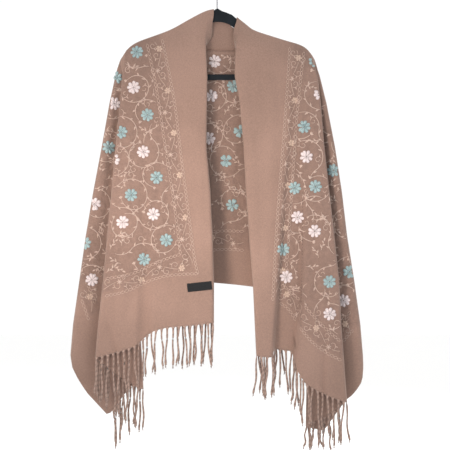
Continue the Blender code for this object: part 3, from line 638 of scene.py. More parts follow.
class YarnWork:  # gathers tubes, petals and leaves into one mesh, with its own UV map
    def __init__(self):
        self.verts, self.faces, self.corners, self.slots = [], [], [], []

    def patch(self, here, there, side, following, sides, low, high, slot):  # one face between two rings
        self.faces.append((here + side, here + following, there + following, there + side))
        self.corners += [(side / sides, low), ((side + 1) / sides, low), ((side + 1) / sides, high),
                         (side / sides, high)]
        self.slots.append(slot)

    def tube(self, path, radii, sides=6, slot=0, face=None, flat=1.0):
        path = np.array(path, float)
        radii = np.broadcast_to(np.array(radii, float), (len(path),))
        steps = np.gradient(path, axis=0)
        steps /= np.maximum(np.linalg.norm(steps, axis=1, keepdims=True), 1e-12)
        out = np.array([(0.0, -1.0, 0.0)] * len(path) if face is None else face, float)
        out = out - (out * steps).sum(1, keepdims=True) * steps
        out /= np.maximum(np.linalg.norm(out, axis=1, keepdims=True), 1e-12)
        across = np.cross(steps, out)
        length = np.concatenate([[0], np.cumsum(np.linalg.norm(np.diff(path, axis=0), axis=1))])
        flat = np.broadcast_to(np.array(flat, float), (len(path),))
        first = len(self.verts)
        for index in range(len(path)):
            for side in range(sides):
                angle = 2 * np.pi * side / sides
                self.verts.append(path[index] + radii[index] * (np.cos(angle) * across[index]
                                                                + flat[index] * np.sin(angle) * out[index]))
        for index in range(len(path) - 1):
            for side in range(sides):
                here, following = first + index * sides, (side + 1) % sides
                self.patch(here, here + sides, side, following, sides, length[index], length[index + 1], slot)
        last = first + (len(path) - 1) * sides
        self.faces.append(tuple(range(first + sides - 1, first - 1, -1)))
        self.faces.append(tuple(range(last, last + sides)))
        self.corners += [(0.5, length[0])] * sides + [(0.5, length[-1])] * sides
        self.slots += [slot, slot]

    def loop(self, points, radius, face, slot=0):  # a closed thread of three sides
        points = np.array(points)
        middle, count, first = points.mean(0), len(points), len(self.verts)
        for point in points:
            outward = (point - middle) / max(np.linalg.norm(point - middle), 1e-9)
            for angle in (0.5, 2.6, 4.7):
                self.verts.append(point + radius * (np.cos(angle) * outward + np.sin(angle) * face))
        for index in range(count):
            for side in range(3):
                here, there = first + index * 3, first + (index + 1) % count * 3
                low, high = index * 1.5 * mm, (index + 1) * 1.5 * mm
                self.patch(here, there, side, (side + 1) % 3, 3, low, high, slot)

    def make(self, name, materials):
        mesh = bpy.data.meshes.new(name)
        mesh.from_pydata([tuple(vert) for vert in self.verts], [], self.faces)
        layer = mesh.uv_layers.new(name="yarnUV")
        layer.data.foreach_set("uv", np.array(self.corners, float).reshape(-1))
        mesh.polygons.foreach_set("material_index", self.slots)
        for material in materials:
            mesh.materials.append(material)
        mesh.shade_smooth()
        thing = bpy.data.objects.new(name, mesh)
        bpy.context.scene.collection.objects.link(thing)
        build = bmesh.new()
        build.from_mesh(mesh)
        bmesh.ops.recalc_face_normals(build, faces=build.faces)
        build.to_mesh(mesh)
        build.free()
        return thing


print("materials")


class Finish:  # a material and short calls for its nodes
    def __init__(self, name, colour, roughness, metallic=0.0, **sockets):
        self.material = bpy.data.materials.new(name)
        self.material.use_nodes = True
        self.tree = self.material.node_tree
        self.shader = self.tree.nodes["Principled BSDF"]
        self.shader.inputs["Base Color"].default_value = (*colour, 1)
        self.shader.inputs["Roughness"].default_value = roughness
        self.shader.inputs["Metallic"].default_value = metallic
        for key, value in sockets.items():
            self.shader.inputs[key.replace("_", " ")].default_value = value

    def add(self, kind, links=None, settings=None, **values):
        node = self.tree.nodes.new(kind)
        for key, value in (settings or {}).items():
            setattr(node, key, value)
        for key, value in values.items():
            node.inputs[key.replace("_", " ")].default_value = value
        for key, source in (links or {}).items():
            self.tree.links.new(source, node.inputs[key])
        return node

    def place(self, where="Object"):
        return self.add("ShaderNodeTexCoord").outputs[where]

    def stretch(self, source, scale):
        return self.add("ShaderNodeMapping", {"Vector": source}, Scale=scale).outputs["Vector"]

    def noise(self, source, scale, detail=3.0, rough=0.55):
        node = self.add("ShaderNodeTexNoise", {"Vector": source}, Scale=scale, Detail=detail, Roughness=rough)
        return node.outputs["Fac"]

    def bands(self, source, scale, direction="X", wobble=0.0):
        settings = {"wave_type": "BANDS", "bands_direction": direction}
        node = self.add("ShaderNodeTexWave", {"Vector": source}, settings, Scale=scale, Distortion=wobble)
        return node.outputs["Fac"]

    def ramp(self, source, stops):
        node = self.add("ShaderNodeValToRGB", {"Fac": source})
        points = node.color_ramp.elements
        while len(points) < len(stops):
            points.new(0.5)
        for point, (position, colour) in zip(points, stops):
            point.position, point.color = position, (*colour, 1)
        return node.outputs["Color"]

    def sum(self, first, second, kind="ADD"):
        return self.add("ShaderNodeMath", {0: first, 1: second}, {"operation": kind}).outputs[0]

    def times(self, source, amount):
        node = self.add("ShaderNodeMath", {0: source}, {"operation": "MULTIPLY"})
        node.inputs[1].default_value = amount
        return node.outputs[0]

    def tint(self, base, over):
        settings = {"data_type": "RGBA", "blend_type": "MULTIPLY"}
        node = self.add("ShaderNodeMix", {6: base, 7: over}, settings)
        node.inputs[0].default_value = 1.0
        return node.outputs[2]

    def colourFrom(self, source):
        self.tree.links.new(source, self.shader.inputs["Base Color"])

    def roughFrom(self, source, low, high):
        node = self.add("ShaderNodeMapRange", {"Value": source}, To_Min=low, To_Max=high)
        self.tree.links.new(node.outputs["Result"], self.shader.inputs["Roughness"])

    def bump(self, source, strength, distance):
        node = self.add("ShaderNodeBump", {"Height": source}, Strength=strength, Distance=distance)
        self.tree.links.new(node.outputs["Normal"], self.shader.inputs["Normal"])


colours = {
    "wool": ((0.250, 0.161, 0.128), (0.288, 0.186, 0.149), (0.326, 0.211, 0.170)),
    "fringe": ((0.205, 0.136, 0.109), (0.335, 0.225, 0.183)),
}


def bandScale(pitch):  # a Wave texture's scale for bands this far apart
    return 2 * np.pi / (20 * pitch * mm)


def woolFinish():
    wool = Finish("woolCloth", colours["wool"][1], 0.92, Sheen_Weight=0.35, Sheen_Roughness=0.45)
    wool.shader.inputs["Sheen Tint"].default_value = (1.0, 0.86, 0.78, 1)
    flat, space = wool.place("UV"), wool.place("Object")
    warp, weft = wool.bands(flat, bandScale(1.15), "X", 1.2), wool.bands(flat, bandScale(1.15), "Y", 1.2)
    weave = wool.sum(warp, weft, "MULTIPLY")
    nap = wool.noise(wool.stretch(flat, (1600, 620, 1)), 1.0, 4.0, 0.65)
    cloud, mottle = wool.noise(space, 7.0, 3.0), wool.noise(space, 320.0, 4.0, 0.65)
    blendOf = wool.sum(wool.times(cloud, 0.45), wool.times(mottle, 0.55))
    base = wool.ramp(blendOf, list(zip((0.38, 0.5, 0.62), colours["wool"])))
    fibre = wool.ramp(nap, ((0.25, (0.80, 0.78, 0.77)), (0.75, (1.08, 1.07, 1.06))))
    threads = wool.ramp(weave, ((0.0, (0.88, 0.87, 0.86)), (0.6, (1.03, 1.03, 1.03))))
    drawn = wool.add("ShaderNodeAttribute", settings={"attribute_name": "stitchedShare"}).outputs["Fac"]
    ripple = wool.noise(space, 105.0, 2.0, 0.5)
    drawnIn = wool.sum(drawn, ripple, "MULTIPLY")
    # painted shade: where the wool is stitched its colour darkens by up to a fifth with the ripple noise,
    # standing in for the shade of the puckers and stitches
    paintedPuckerShade = wool.ramp(drawnIn, ((0.0, (1.0, 1.0, 1.0)), (0.7, (0.80, 0.80, 0.81))))
    plain = wool.tint(wool.tint(base, fibre), threads)
    wool.colourFrom(wool.tint(plain, paintedPuckerShade))
    wool.roughFrom(nap, 0.86, 0.98)
    height = wool.sum(wool.times(weave, 0.25), wool.times(nap, 0.45))
    wool.bump(wool.sum(height, wool.times(drawnIn, 4.5)), 0.6, 0.001)
    return wool.material


def yarnFinish(name, dark, light, turns=5.5, sheen=0.3, relief=0.5):
    yarn = Finish(name, light, 0.85, Sheen_Weight=sheen, Sheen_Roughness=0.4)
    flat, space = yarn.place("UV"), yarn.place("Object")
    # two plies: bands that climb round the yarn once in every turn
    ply = yarn.bands(yarn.stretch(flat, (np.pi / 10, bandScale(turns), 1)), 1.0, "DIAGONAL", 0.0)
    fuzz = yarn.noise(space, 1400.0, 3.0, 0.6)
    tone = yarn.noise(space, 60.0, 2.0)
    base = yarn.ramp(yarn.sum(yarn.times(ply, 0.6), yarn.times(tone, 0.5)),
                     ((0.15, dark), (0.75, light)))
    shade = yarn.ramp(fuzz, ((0.3, (0.82, 0.82, 0.82)), (0.7, (1.06, 1.06, 1.06))))
    yarn.colourFrom(yarn.tint(base, shade))
    yarn.bump(yarn.sum(ply, yarn.times(fuzz, 0.35)), 0.7, relief * mm)
    return yarn.material


woolCloth = woolFinish()
shawl.data.materials.clear()
shawl.data.materials.append(woolCloth)
fringeYarn = yarnFinish("fringeYarn", *colours["fringe"])


print("the fringe")
fringe = {
    "pitch": 13.0, "length": 86.0, "width": 4.5, "steep": 2.2, "leftLowest": -1068.0, "rightLowest": -1077.0,
    "segments": 13, "sides": 6, "frays": 5, "seed": 11, "margins": (4, 3), "lengths": (0.93, 1.08),
    "lean": (-1.5, 7.5), "leanUneven": 1.2, "wave": (1.0, 2.6), "turns": (0.8, 1.5),
    "rootShares": (0, 0.02, 0.045, 0.08), "rootRadii": (5.9, 3.7, 2.6, 2.2),
    "rootFlat": (0.16, 0.28, 0.5, 0.78), "fray": (4.5, 9), "frayRadii": (0.7, 0.55, 0.25),
}
roundTurn = 6.28  # radians


def hemPath(half, grid, runs):  # along the hem from the flap to the cloth's outer corner
    corner = cornerPart(half)
    return np.array([column[-1] for column, (run, part) in zip(grid, runs)
                     if run in ("flap", "inner", "front", "fold", "second", "valley")
                     or (run == "third" and part <= corner + 1e-6)])


def makeFringe(name, half, grid, runs, lowest):
    chance = np.random.default_rng(fringe["seed"] + (half is rightHalf))
    path = hemPath(half, grid, runs)
    length = np.concatenate([[0], np.cumsum(np.linalg.norm(np.diff(path, axis=0), axis=1))])
    level = np.linalg.norm(np.diff(path[:, :2], axis=0), axis=1)
    slopes = abs(np.diff(path[:, 2])) / np.maximum(level, 1e-9)

    def hemAt(along):
        return np.array([np.interp(along, length, path[:, axis]) for axis in range(3)])

    yarn = YarnWork()
    start, end = fringe["margins"]
    for index, middle in enumerate(np.arange(start * mm, length[-1] - end * mm, fringe["pitch"] * mm)):
        if np.interp(middle, length[1:], slopes) > fringe["steep"]:
            continue
        root = hemAt(middle)
        hemWay = (hemAt(middle + 2.5 * mm) - hemAt(middle - 2.5 * mm)) * (1, 1, 0)
        hemFace = np.array([hemWay[1], -hemWay[0], 0]) / max(np.linalg.norm(hemWay), 1e-9)
        long = min(fringe["length"], root[2] / mm - lowest - 4) * (1 + 0.05 * np.sin(index * 1.9))
        long = long * chance.uniform(*fringe["lengths"])
        pair = 1 if index % 2 == 0 else -1  # neighbours lean towards each other
        lean = pair * chance.uniform(*fringe["lean"]) + chance.normal(0, fringe["leanUneven"])
        wave, phase = chance.uniform(*fringe["wave"]), chance.uniform(0, roundTurn)
        turn = chance.uniform(*fringe["turns"])
        share = np.concatenate([fringe["rootShares"], np.linspace(0.13, 1, fringe["segments"])])
        sideways = lean * share ** 1.2 + wave * np.sin(phase + roundTurn * turn * share) * share ** 0.6
        sideways = sideways - wave * np.sin(phase) * share
        forth = chance.normal(0, 1.0) * share + 0.8 * np.sin(phase * 1.7 + 5 * share) * share
        forth = forth + pair * 0.6 * share
        points = root + np.stack([sideways, forth, 1.2 - (long + 1.2) * share], -1) * mm
        radii = 0.9 + 0.1 * np.sin(share * 9 + phase) + 0.3 * smooth(share, 0.8, 0.96)
        radii = fringe["width"] / 2 * mm * radii
        bend = abs(hemAt(middle + 6 * mm)[0] - hemAt(middle - 6 * mm)[0])
        room = min(middle / mm, (length[-1] - middle) / mm, 0.5 * bend / mm)
        radii[:4] = np.minimum(np.array(fringe["rootRadii"]), max(room, 2.0)) * mm
        radii[-1] *= 0.75
        flat = np.ones(len(share))
        flat[:4] = fringe["rootFlat"]
        face = hemFace + (np.array((0, -1.0, 0)) - hemFace) * smooth(share, 0.1, 0.5)[:, None]
        yarn.tube(points, radii, fringe["sides"], face=face, flat=flat)
        for fray in range(fringe["frays"]):
            angle, reach = roundTurn * fray / fringe["frays"] + phase, chance.uniform(*fringe["fray"])
            tip = np.array([1.7 * np.cos(angle), 1.2 * np.sin(angle), -reach]) * mm
            ends = np.array([points[-2] * 0.5 + points[-1] * 0.5, points[-1] + tip * 0.45, points[-1] + tip])
            yarn.tube(ends, np.array(fringe["frayRadii"]) * mm, 3)
    return yarn.make(name, [fringeYarn])


fringeLeft = makeFringe("fringeLeft", leftHalf, leftGrid, leftRuns, fringe["leftLowest"])
fringeRight = makeFringe("fringeRight", rightHalf, rightGrid, rightRuns, fringe["rightLowest"])


print("embroidery")
stitching = {
    "seed": 5, "lift": 0.25, "stem": 0.85, "link": 9.0, "linkWidth": 2.7, "linkThread": 0.58,
    "flower": 14.6, "petals": 8, "circle": 35.0, "leaf": (8.0, 1.9), "clear": 19.0,
    "fill": 43.0, "sprigRoom": 17, "sprigTries": 900, "sprigStep": 2.9,
    "curlStep": 2.0, "curlStem": 0.62, "curlLeaf": (6.0, 1.5),
    "leadIn": 30, "sweep": (4.9, 5.7), "shrink": 0.34, "leafLengths": (6.5, 10.5), "leafWidths": (1.5, 2.3),
    "borderFlower": 7.4, "borderPitch": 48.0, "borderStep": 3.0, "borderClear": 7,
}
# a petal: the shares of its length at its rings, and its half widths there as shares of the flower's radius
petalShares, petalWidths = (0.2, 0.36, 0.54, 0.74, 0.92, 1.0), (0.08, 0.15, 0.235, 0.285, 0.215, 0.08)
# half a chain stitch's link, along and across it
linkHalf = ((-0.58, 0.0), (-0.42, 0.45), (-0.16, 0.9), (0.12, 1.0), (0.36, 0.66), (0.52, 0.0))
hangingThread = ((-17, -372), (-12, -377), (-7, -383), (-10, -390), (-14, -396), (-13, -409))
# a needle's start and way in y
lookFrom = {"front": (-0.2, 1), "back": (0.2, -1), "inside": (0.0, 1), "side": (0, 1)}


def sideStart(x, z):  # just in front of the side pleat's last layer
    half = leftHalf if x < 0 else rightHalf
    inner, outer = pleatPoint(half, "third", 0.0, z), pleatPoint(half, "third", 1.0, z)
    return (np.interp(abs(x), (inner[0], outer[0]), (inner[1], outer[1])) - 2.6) * mm


def clothHit(side, x, z):  # where a needle along y meets the cloth, and the way the cloth faces there
    start, way = lookFrom[side]
    if side == "side":
        start = sideStart(x, z)
    point, normal, _, _ = shawlTree.ray_cast(Vector((x * mm, start, z * mm)), Vector((0, way, 0)))
    if point is None:
        return None
    if normal.y * way > 0:
        normal = -normal
    return np.array(point), np.array(normal)


def layOn(side, points, inside, jump=3.5):  # the stretches of a line on the cloth, inside their region
    stretches, current = [], []
    for x, z in points:
        hit = clothHit(side, x, z) if inside(x, z) else None
        if hit is None or (current and abs(hit[0][1] - current[-1][0][1]) > jump * mm):
            stretches.append(current)
            current = []
        if hit is not None:
            current.append(hit)
    stretches.append(current)
    return [tuple(np.array(kind) for kind in zip(*stretch)) for stretch in stretches if len(stretch) > 2]


def resample(line, pitch):  # points at an even pitch
    line = np.array(line, float)
    length = np.concatenate([[0], np.cumsum(np.linalg.norm(np.diff(line, axis=0), axis=1))])
    count = max(int(round(length[-1] / pitch)), 2)
    at = np.linspace(0, length[-1], count + 1)
    return np.stack([np.interp(at, length, line[:, 0]), np.interp(at, length, line[:, 1])], -1)


def shifted(line, by):  # moved to its left
    line = np.array(line, float)
    steps = np.gradient(line, axis=0)
    steps /= np.maximum(np.linalg.norm(steps, axis=1, keepdims=True), 1e-9)
    return line + by * np.stack([-steps[:, 1], steps[:, 0]], -1)


def stem(work, side, points, inside, slot, radius=None):
    radius = radius or stitching["stem"]
    for path, normals in layOn(side, points, inside):
        share = np.linspace(0, 1, len(path))
        radii = radius * (0.55 + 0.45 * np.minimum(1, 6 * np.minimum(share, 1 - share))) * mm
        work.tube(path + normals * (stitching["lift"] + 0.2 * radius) * mm, radii, 4, slot, normals, 0.8)


def leaf(work, side, at, angle, inside, slot, length=None, width=None):
    length, width = length or stitching["leaf"][0], width or stitching["leaf"][1]
    way = np.array([np.cos(angle), np.sin(angle)])
    points = [np.array(at) + way * length * share for share in (0, 0.3, 0.62, 1)]
    for path, normals in layOn(side, points, inside):
        if len(path) == 4:
            radii = np.array([0.3, 0.95, 0.8, 0.12]) * width * mm
            work.tube(path + normals * 0.25 * mm, radii, 5, slot, normals, 0.42)


def flower(work, side, at, inside, slot, radius=None, petals=None, height=0.44, turn=0.0, loose=0.0,
           chance=None):
    radius, petals = radius or stitching["flower"], petals or stitching["petals"]
    hit = clothHit(side, *at)
    if hit is None:
        return
    for petal in range(petals):
        angle = turn + 2 * np.pi * petal / petals + (chance.normal(0, loose) if loose else 0)
        way = np.array([np.cos(angle), np.sin(angle)])
        points = [np.array(at) + way * radius * share for share in petalShares]
        for path, normals in layOn(side, points, inside, 6):
            widths = np.minimum(np.array(petalWidths) * radius * 8 / petals, 0.32 * radius)
            widths = widths[:len(path)] if inside(*points[0]) else widths[-len(path):]
            work.tube(path + normals * 0.3 * mm, widths * mm, 7, slot, normals, height)
    if not inside(*at):
        return
    centre, normal = hit
    across = np.cross(normal, (0, 0, 1.0))
    upright = np.cross(across, normal)
    raised = centre + normal * radius * height * 0.22 * mm
    for reach, thread in ((0.3, 0.075), (0.15, 0.06)):  # two rings of couched thread, open in the middle
        ring = [raised + radius * reach * mm * (np.cos(swing) * across + np.sin(swing) * upright)
                for swing in np.linspace(0, 2 * np.pi, 11)[:-1]]
        work.loop(ring, radius * thread * mm, normal, slot)


def chain(work, side, line, inside, slot):  # open links, each caught under the one before
    link, lift = stitching["link"], (stitching["lift"] + 0.1) * mm
    half = np.array(linkHalf)
    shape = np.concatenate([half, half[4:0:-1] * (1, -1)]) * (link, stitching["linkWidth"])
    points = resample(line, link)
    for here, there in zip(points[:-1], points[1:]):
        middle, way = (here + there) / 2, (there - here) / np.linalg.norm(there - here)
        across = np.array((-way[1], way[0]))
        spots = [middle + way * along + across * aside for along, aside in shape]
        hits = [clothHit(side, *spot) if inside(*spot) else None for spot in spots]
        if any(hit is None for hit in hits) or np.ptp([hit[0][1] for hit in hits]) > 6 * mm:
            continue
        face = np.mean([hit[1] for hit in hits], axis=0)
        work.loop([point + normal * lift for point, normal in hits], stitching["linkThread"] * mm, face, slot)


def curlVine(work, side, start, angle, inside, slot, hand):  # a small S curl with a leaf, as in the borders
    turns = np.linspace(0, 1, 18)
    bend = angle + hand * (1.2 * np.sin(turns * 2.6) + 5.4 * turns ** 2.6)
    steps = np.stack([np.cos(bend), np.sin(bend)], -1) * stitching["curlStep"]
    points = np.array(start) + np.cumsum(steps, axis=0)
    stem(work, side, points, inside, slot, stitching["curlStem"])
    leaf(work, side, points[4], angle - hand * 0.9, inside, slot, *stitching["curlLeaf"])


def alongVine(points, start, end, every):  # where leaves sit, the way the vine runs, and a side in turn
    for index in range(start, len(points) - end, every):
        way = points[index + 1] - points[index - 1]
        yield index, np.arctan2(way[1], way[0]), 1 if (index // every) % 2 else -1


def spiralVine(work, side, at, first, hand, inside, slot, chance):
    # round a flower: in from outside on an opposite bend, once round, then curled up beside the petals
    lead, around = np.linspace(1, 0, 16)[:-1], np.linspace(0, 1, 58)
    radius = stitching["circle"] * chance.uniform(0.93, 1.06)
    outer = np.array(at) + (radius + stitching["leadIn"]) * np.array([np.cos(first), np.sin(first)])
    swing = first + np.pi + hand * 1.35 * lead
    opening = outer + stitching["leadIn"] * np.stack([np.cos(swing), np.sin(swing)], -1)
    sweep = chance.uniform(*stitching["sweep"])
    shrink = radius * (1 - stitching["shrink"] * smooth(around, 0.62, 1.0))
    turning = first + hand * sweep * around
    circle = np.array(at) + shrink[:, None] * np.stack([np.cos(turning), np.sin(turning)], -1)
    points = np.concatenate([opening, circle])
    stem(work, side, points, inside, slot)
    for index, angle, flip in alongVine(points, 6, 3, 6):
        leaf(work, side, points[index], angle + flip * chance.uniform(0.55, 0.9), inside, slot,
             chance.uniform(*stitching["leafLengths"]), chance.uniform(*stitching["leafWidths"]))
        if index % 24 == 0:
            curlVine(work, side, points[index], angle - flip * 0.7, inside, slot, -flip)
    for spread in (-0.7, 0, 0.7):  # the bud at its end
        way = points[-1] - points[-3]
        leaf(work, side, points[-1], np.arctan2(way[1], way[0]) + spread, inside, slot, 6.5, 2.1)


def farFrom(x, z, spots, reach):
    return all(np.hypot(x - spot[0], z - spot[1]) > reach for spot in spots)


def sprig(work, side, at, angle, inside, slot, chance):
    share = np.linspace(0, 1, 9)
    bend = angle + chance.uniform(-0.9, 0.9) * share
    steps = np.stack([np.cos(bend), np.sin(bend)], -1) * stitching["sprigStep"]
    points = np.array(at) + np.cumsum(steps, axis=0)
    stem(work, side, points, inside, slot, 0.55)
    for index, flip in ((2, 1), (4, -1), (6, 1)):
        leaf(work, side, points[index], bend[index] + flip * 0.75, inside, slot, chance.uniform(6, 9.5), 1.9)
    leaf(work, side, points[-1], bend[-1], inside, slot, 7.5, 2.2)


def fieldOf(work, side, spots, box, inside, slot, chance):  # vines round flowers, sprigs between them
    def clear(x, z):
        return inside(x, z) and farFrom(x, z, spots, stitching["clear"])

    for index, spot in enumerate(spots):
        hand = 1 if index % 2 else -1
        spiralVine(work, side, spot, chance.uniform(0, roundTurn), hand, clear, slot, chance)
    (west, east), (low, high) = box
    placed = []
    for _ in range(stitching["sprigTries"]):
        x, z = chance.uniform(west, east), chance.uniform(low, high)
        if (inside(x, z) and farFrom(x, z, spots, stitching["fill"])
                and farFrom(x, z, placed, stitching["sprigRoom"])):
            placed.append((x, z))
            sprig(work, side, (x, z), chance.uniform(0, roundTurn), inside, slot, chance)


def borderOf(work, side, first, second, inside):  # flowers and curls between two lines
    evenly = np.linspace(0, 1, 60)
    first, second = (line[(evenly * (len(line) - 1)).astype(int)]
                     for line in (resample(rounded(edge), 1.0) for edge in (first, second)))
    gap = np.median([np.linalg.norm(here - there) for here, there in zip(first, second)])
    pitch, step = stitching["borderPitch"], stitching["borderStep"]
    middle = resample((first + second) / 2, step)
    sway = np.sin(np.arange(len(middle)) * step * 2 * np.pi / (2 * pitch))
    vine = middle + (shifted(middle, 1) - middle) * (sway * gap * 0.19)[:, None]
    spots = [vine[index] for index in range(6, len(vine) - 4, int(pitch / step))]

    def clear(x, z):
        return inside(x, z) and farFrom(x, z, spots, stitching["borderClear"])

    stem(work, side, vine, clear, slotOf["vine"], stitching["curlStem"])
    for index, spot in enumerate(spots):
        if index % 2 == 0:
            flower(work, side, spot, inside, slotOf["peach"], stitching["borderFlower"], 6, 0.3, turn=index)
        else:
            for petal in range(7):
                leaf(work, side, spot, petal * 2 * np.pi / 7 + index, inside, slotOf["vine"], 7.2, 1.25)
    for index, angle, flip in alongVine(vine, 3, 5, 5):
        curlVine(work, side, vine[index], angle + flip * 0.9, clear, slotOf["vine"], flip)


def flowersOf(work, side, plan, inside, chance, height=0.44, loose=0.05):
    for kind in kindsOn[side]:
        slot = slotOf["turquoise" if "urquoise" in kind else "white"]
        for spot in plan[kind]:
            flower(work, side, spot, inside, slot, height=height, turn=chance.uniform(0, 0.8), loose=loose,
                   chance=chance)


kindsOn = {"front": ("turquoise", "white", "frontWhite"), "side": ("sideTurquoise", "sideWhite"),
           "back": ("turquoise", "white"), "inside": ("turquoise", "white")}
# each thread's dark and light, its turns, its sheen and its relief in mm
threads = [yarnFinish(name, *looks) for name, looks in {
    "vineThread": ((0.37, 0.26, 0.21), (0.55, 0.41, 0.35), 1.6, 0.2, 0.06),
    "whiteThread": ((0.46, 0.38, 0.38), (0.72, 0.63, 0.63), 1.4, 0.2, 0.2),
    "turquoiseThread": ((0.175, 0.25, 0.262), (0.34, 0.445, 0.455), 1.4, 0.2, 0.2),
    "peachThread": ((0.40, 0.275, 0.21), (0.56, 0.41, 0.33), 1.4, 0.2, 0.12),
    # the last thread is near-black, for the painted shadow dashes in the right front's furrow
    "furrowShadowThread": ((0.05, 0.03, 0.025), (0.09, 0.055, 0.045), 1.4, 0.1, 0.08),
}.items()]
# slot 4 holds the near-black thread that paints the shadow dashes in the right front's furrow
slotOf = {"vine": 0, "white": 1, "turquoise": 2, "peach": 3, "gather": 4}


threads = [yarnFinish("vineThread", (0.37, 0.26, 0.21), (0.55, 0.41, 0.35), 1.6, 0.2, 0.06),
           yarnFinish("whiteThread", (0.46, 0.38, 0.38), (0.72, 0.63, 0.63), 1.4, 0.2, 0.2),
           yarnFinish("turquoiseThread", (0.175, 0.25, 0.262), (0.34, 0.445, 0.455), 1.4, 0.2, 0.2),
           yarnFinish("peachThread", (0.40, 0.275, 0.21), (0.56, 0.41, 0.33), 1.4, 0.2, 0.12),
           # the near-black thread paints the shadow dashes in the right front's furrow
           yarnFinish("furrowShadowThread", (0.05, 0.03, 0.025), (0.09, 0.055, 0.045), 1.4, 0.1, 0.08)]


# how far the embroidery keeps from folds and from its own lines, and the boxes that the sprigs fill
keepFrom = {"fold": 1.5, "ridge": 2.5, "fieldLine": 5, "endInner": 6, "border": 3, "hidden": 26, "side": 1.2,
            "sideTop": -222, "backSide": 6, "backTop": (-189, 0.09, 60)}
boxes = {"front": ((90, 290), (-860, -170)), "side": ((220, 325), (-800, -225)), "back": (-800, -190)}


def embroiderFront(name, half, plan):
    chance = np.random.default_rng(stitching["seed"] + (half is rightHalf))
    work, sign = YarnWork(), half["sign"]

    def onFront(x, z):
        a = sign * x
        return (a < sectionAt(half, "fold", z) - keepFrom["fold"]
                and z < curveAt(half["ridge"], a) - keepFrom["ridge"])

    def inField(x, z):
        return (onFront(x, z) and sign * x > sign * between(plan["fieldLine"], z) + keepFrom["fieldLine"]
                and z > heightOf(plan["endInner"], x) + keepFrom["endInner"])

    def inBorder(x, z):
        return (onFront(x, z) and z > heightOf(plan["endOuter"], x) + keepFrom["border"]
                and sign * x > sign * between(plan["edgeLine"], z) + keepFrom["border"])

    def onSide(x, z):
        fold, side = sectionAt(half, "fold", z), sectionAt(half, "side", z)
        return fold - keepFrom["hidden"] < sign * x < side - keepFrom["side"] and z < keepFrom["sideTop"]

    def inSideField(x, z):
        return onSide(x, z) and z > heightOf(plan["sideInner"], x) + keepFrom["endInner"]

    def boxOn(side):
        across, height = boxes[side]
        return sorted(sign * edge for edge in across), height

    for line in ("edgeLine", "fieldLine", "endOuter", "endInner"):
        chain(work, "front", rounded(plan[line]), onFront, slotOf["vine"])
    for line in ("sideOuter", "sideInner"):
        chain(work, "side", plan[line], onSide, slotOf["vine"])
    borderOf(work, "front", plan["edgeLine"], plan["fieldLine"], inBorder)
    borderOf(work, "front", plan["endOuter"], plan["endInner"], inBorder)
    borderOf(work, "side", plan["sideOuter"], plan["sideInner"], onSide)
    if half is rightHalf:  # painted shadow: short near-black thread dashes along the bottom of the drawn-in furrow, where its puckers shade it
        for index, (x, z) in enumerate(resample(gathers["shadowDashes"], gathers["pitch"])):
            tilt = 0.8 if index % 3 == 1 else -0.5
            stitch = [(x - tilt, z - 1.7), (x, z), (x + tilt, z + 1.7)]
            stem(work, "front", stitch, onFront, slotOf["gather"], 0.6)
    spots = plan["turquoise"] + plan["white"] + plan["frontWhite"]
    fieldOf(work, "front", spots, boxOn("front"), inField, slotOf["vine"], chance)
    sideSpots = plan["sideTurquoise"] + plan["sideWhite"]
    fieldOf(work, "side", sideSpots, boxOn("side"), inSideField, slotOf["vine"], chance)
    flowersOf(work, "front", plan, onFront, chance)
    flowersOf(work, "side", plan, onSide, chance)
    return work.make(name, threads)


def embroiderBack(name, side, plan, wide):
    chance = np.random.default_rng(stitching["seed"] + 7)
    work = YarnWork()

    def onBack(x, z):
        half = leftHalf if x < 0 else rightHalf
        top, slope, level = keepFrom["backTop"]
        return (abs(x) < min(wide, sectionAt(half, "side", z) - keepFrom["backSide"])
                and z < top + slope * max(abs(x) - level, 0))

    def inField(x, z):
        return onBack(x, z) and z > heightOf(plan["endInner"], x) + keepFrom["endInner"]

    def inBorder(x, z):
        low, high = heightOf(plan["endOuter"], x), heightOf(plan["endInner"], x)
        return onBack(x, z) and low + keepFrom["border"] < z < high - keepFrom["border"]

    for line in ("endOuter", "endInner"):
        chain(work, side, rounded(plan[line]), onBack, slotOf["vine"])
    borderOf(work, side, plan["endOuter"], plan["endInner"], inBorder)
    spots = plan["turquoise"] + plan["white"]
    fieldOf(work, side, spots, ((-wide, wide), boxes["back"]), inField, slotOf["vine"], chance)
    height, loose = (0.44, 0.05) if side == "back" else (0.28, 0.16)  # the wrong side is flatter, less even
    flowersOf(work, side, plan, onBack, chance, height, loose)
    if side == "inside":  # a thread left hanging at the end of a flower
        stem(work, side, rounded(hangingThread), onBack, slotOf["white"], 0.7)
    return work.make(name, threads)


embroideryLeft = embroiderFront("embroideryLeft", leftHalf, leftWork)
embroideryRight = embroiderFront("embroideryRight", rightHalf, rightWork)
embroideryBack = embroiderBack("embroideryBack", "back", backWork, 330)
embroideryInside = embroiderBack("embroideryInside", "inside", insideWork, 75)
stitched = [embroideryLeft, embroideryRight, embroideryBack, embroideryInside]


print("the label")
label = {"x": -39.5, "z": -713.0, "width": 55.0, "height": 19.0, "tilt": 6.0, "thick": 0.7,
         "across": 44, "up": 16, "lift": 0.35, "hem": 0.25, "ripple": 0.12}


def labelPoint(u, v, lift):  # a point of the tape, just in front of the cloth
    tilt = np.radians(label["tilt"])
    x = label["x"] + u * np.cos(tilt) - v * np.sin(tilt)
    z = label["z"] + u * np.sin(tilt) + v * np.cos(tilt)
    hit = shawlTree.ray_cast(Vector((x * mm, -0.2, z * mm)), Vector((0, 1, 0)))[0]
    return Vector((x * mm, hit.y - lift * mm, z * mm))


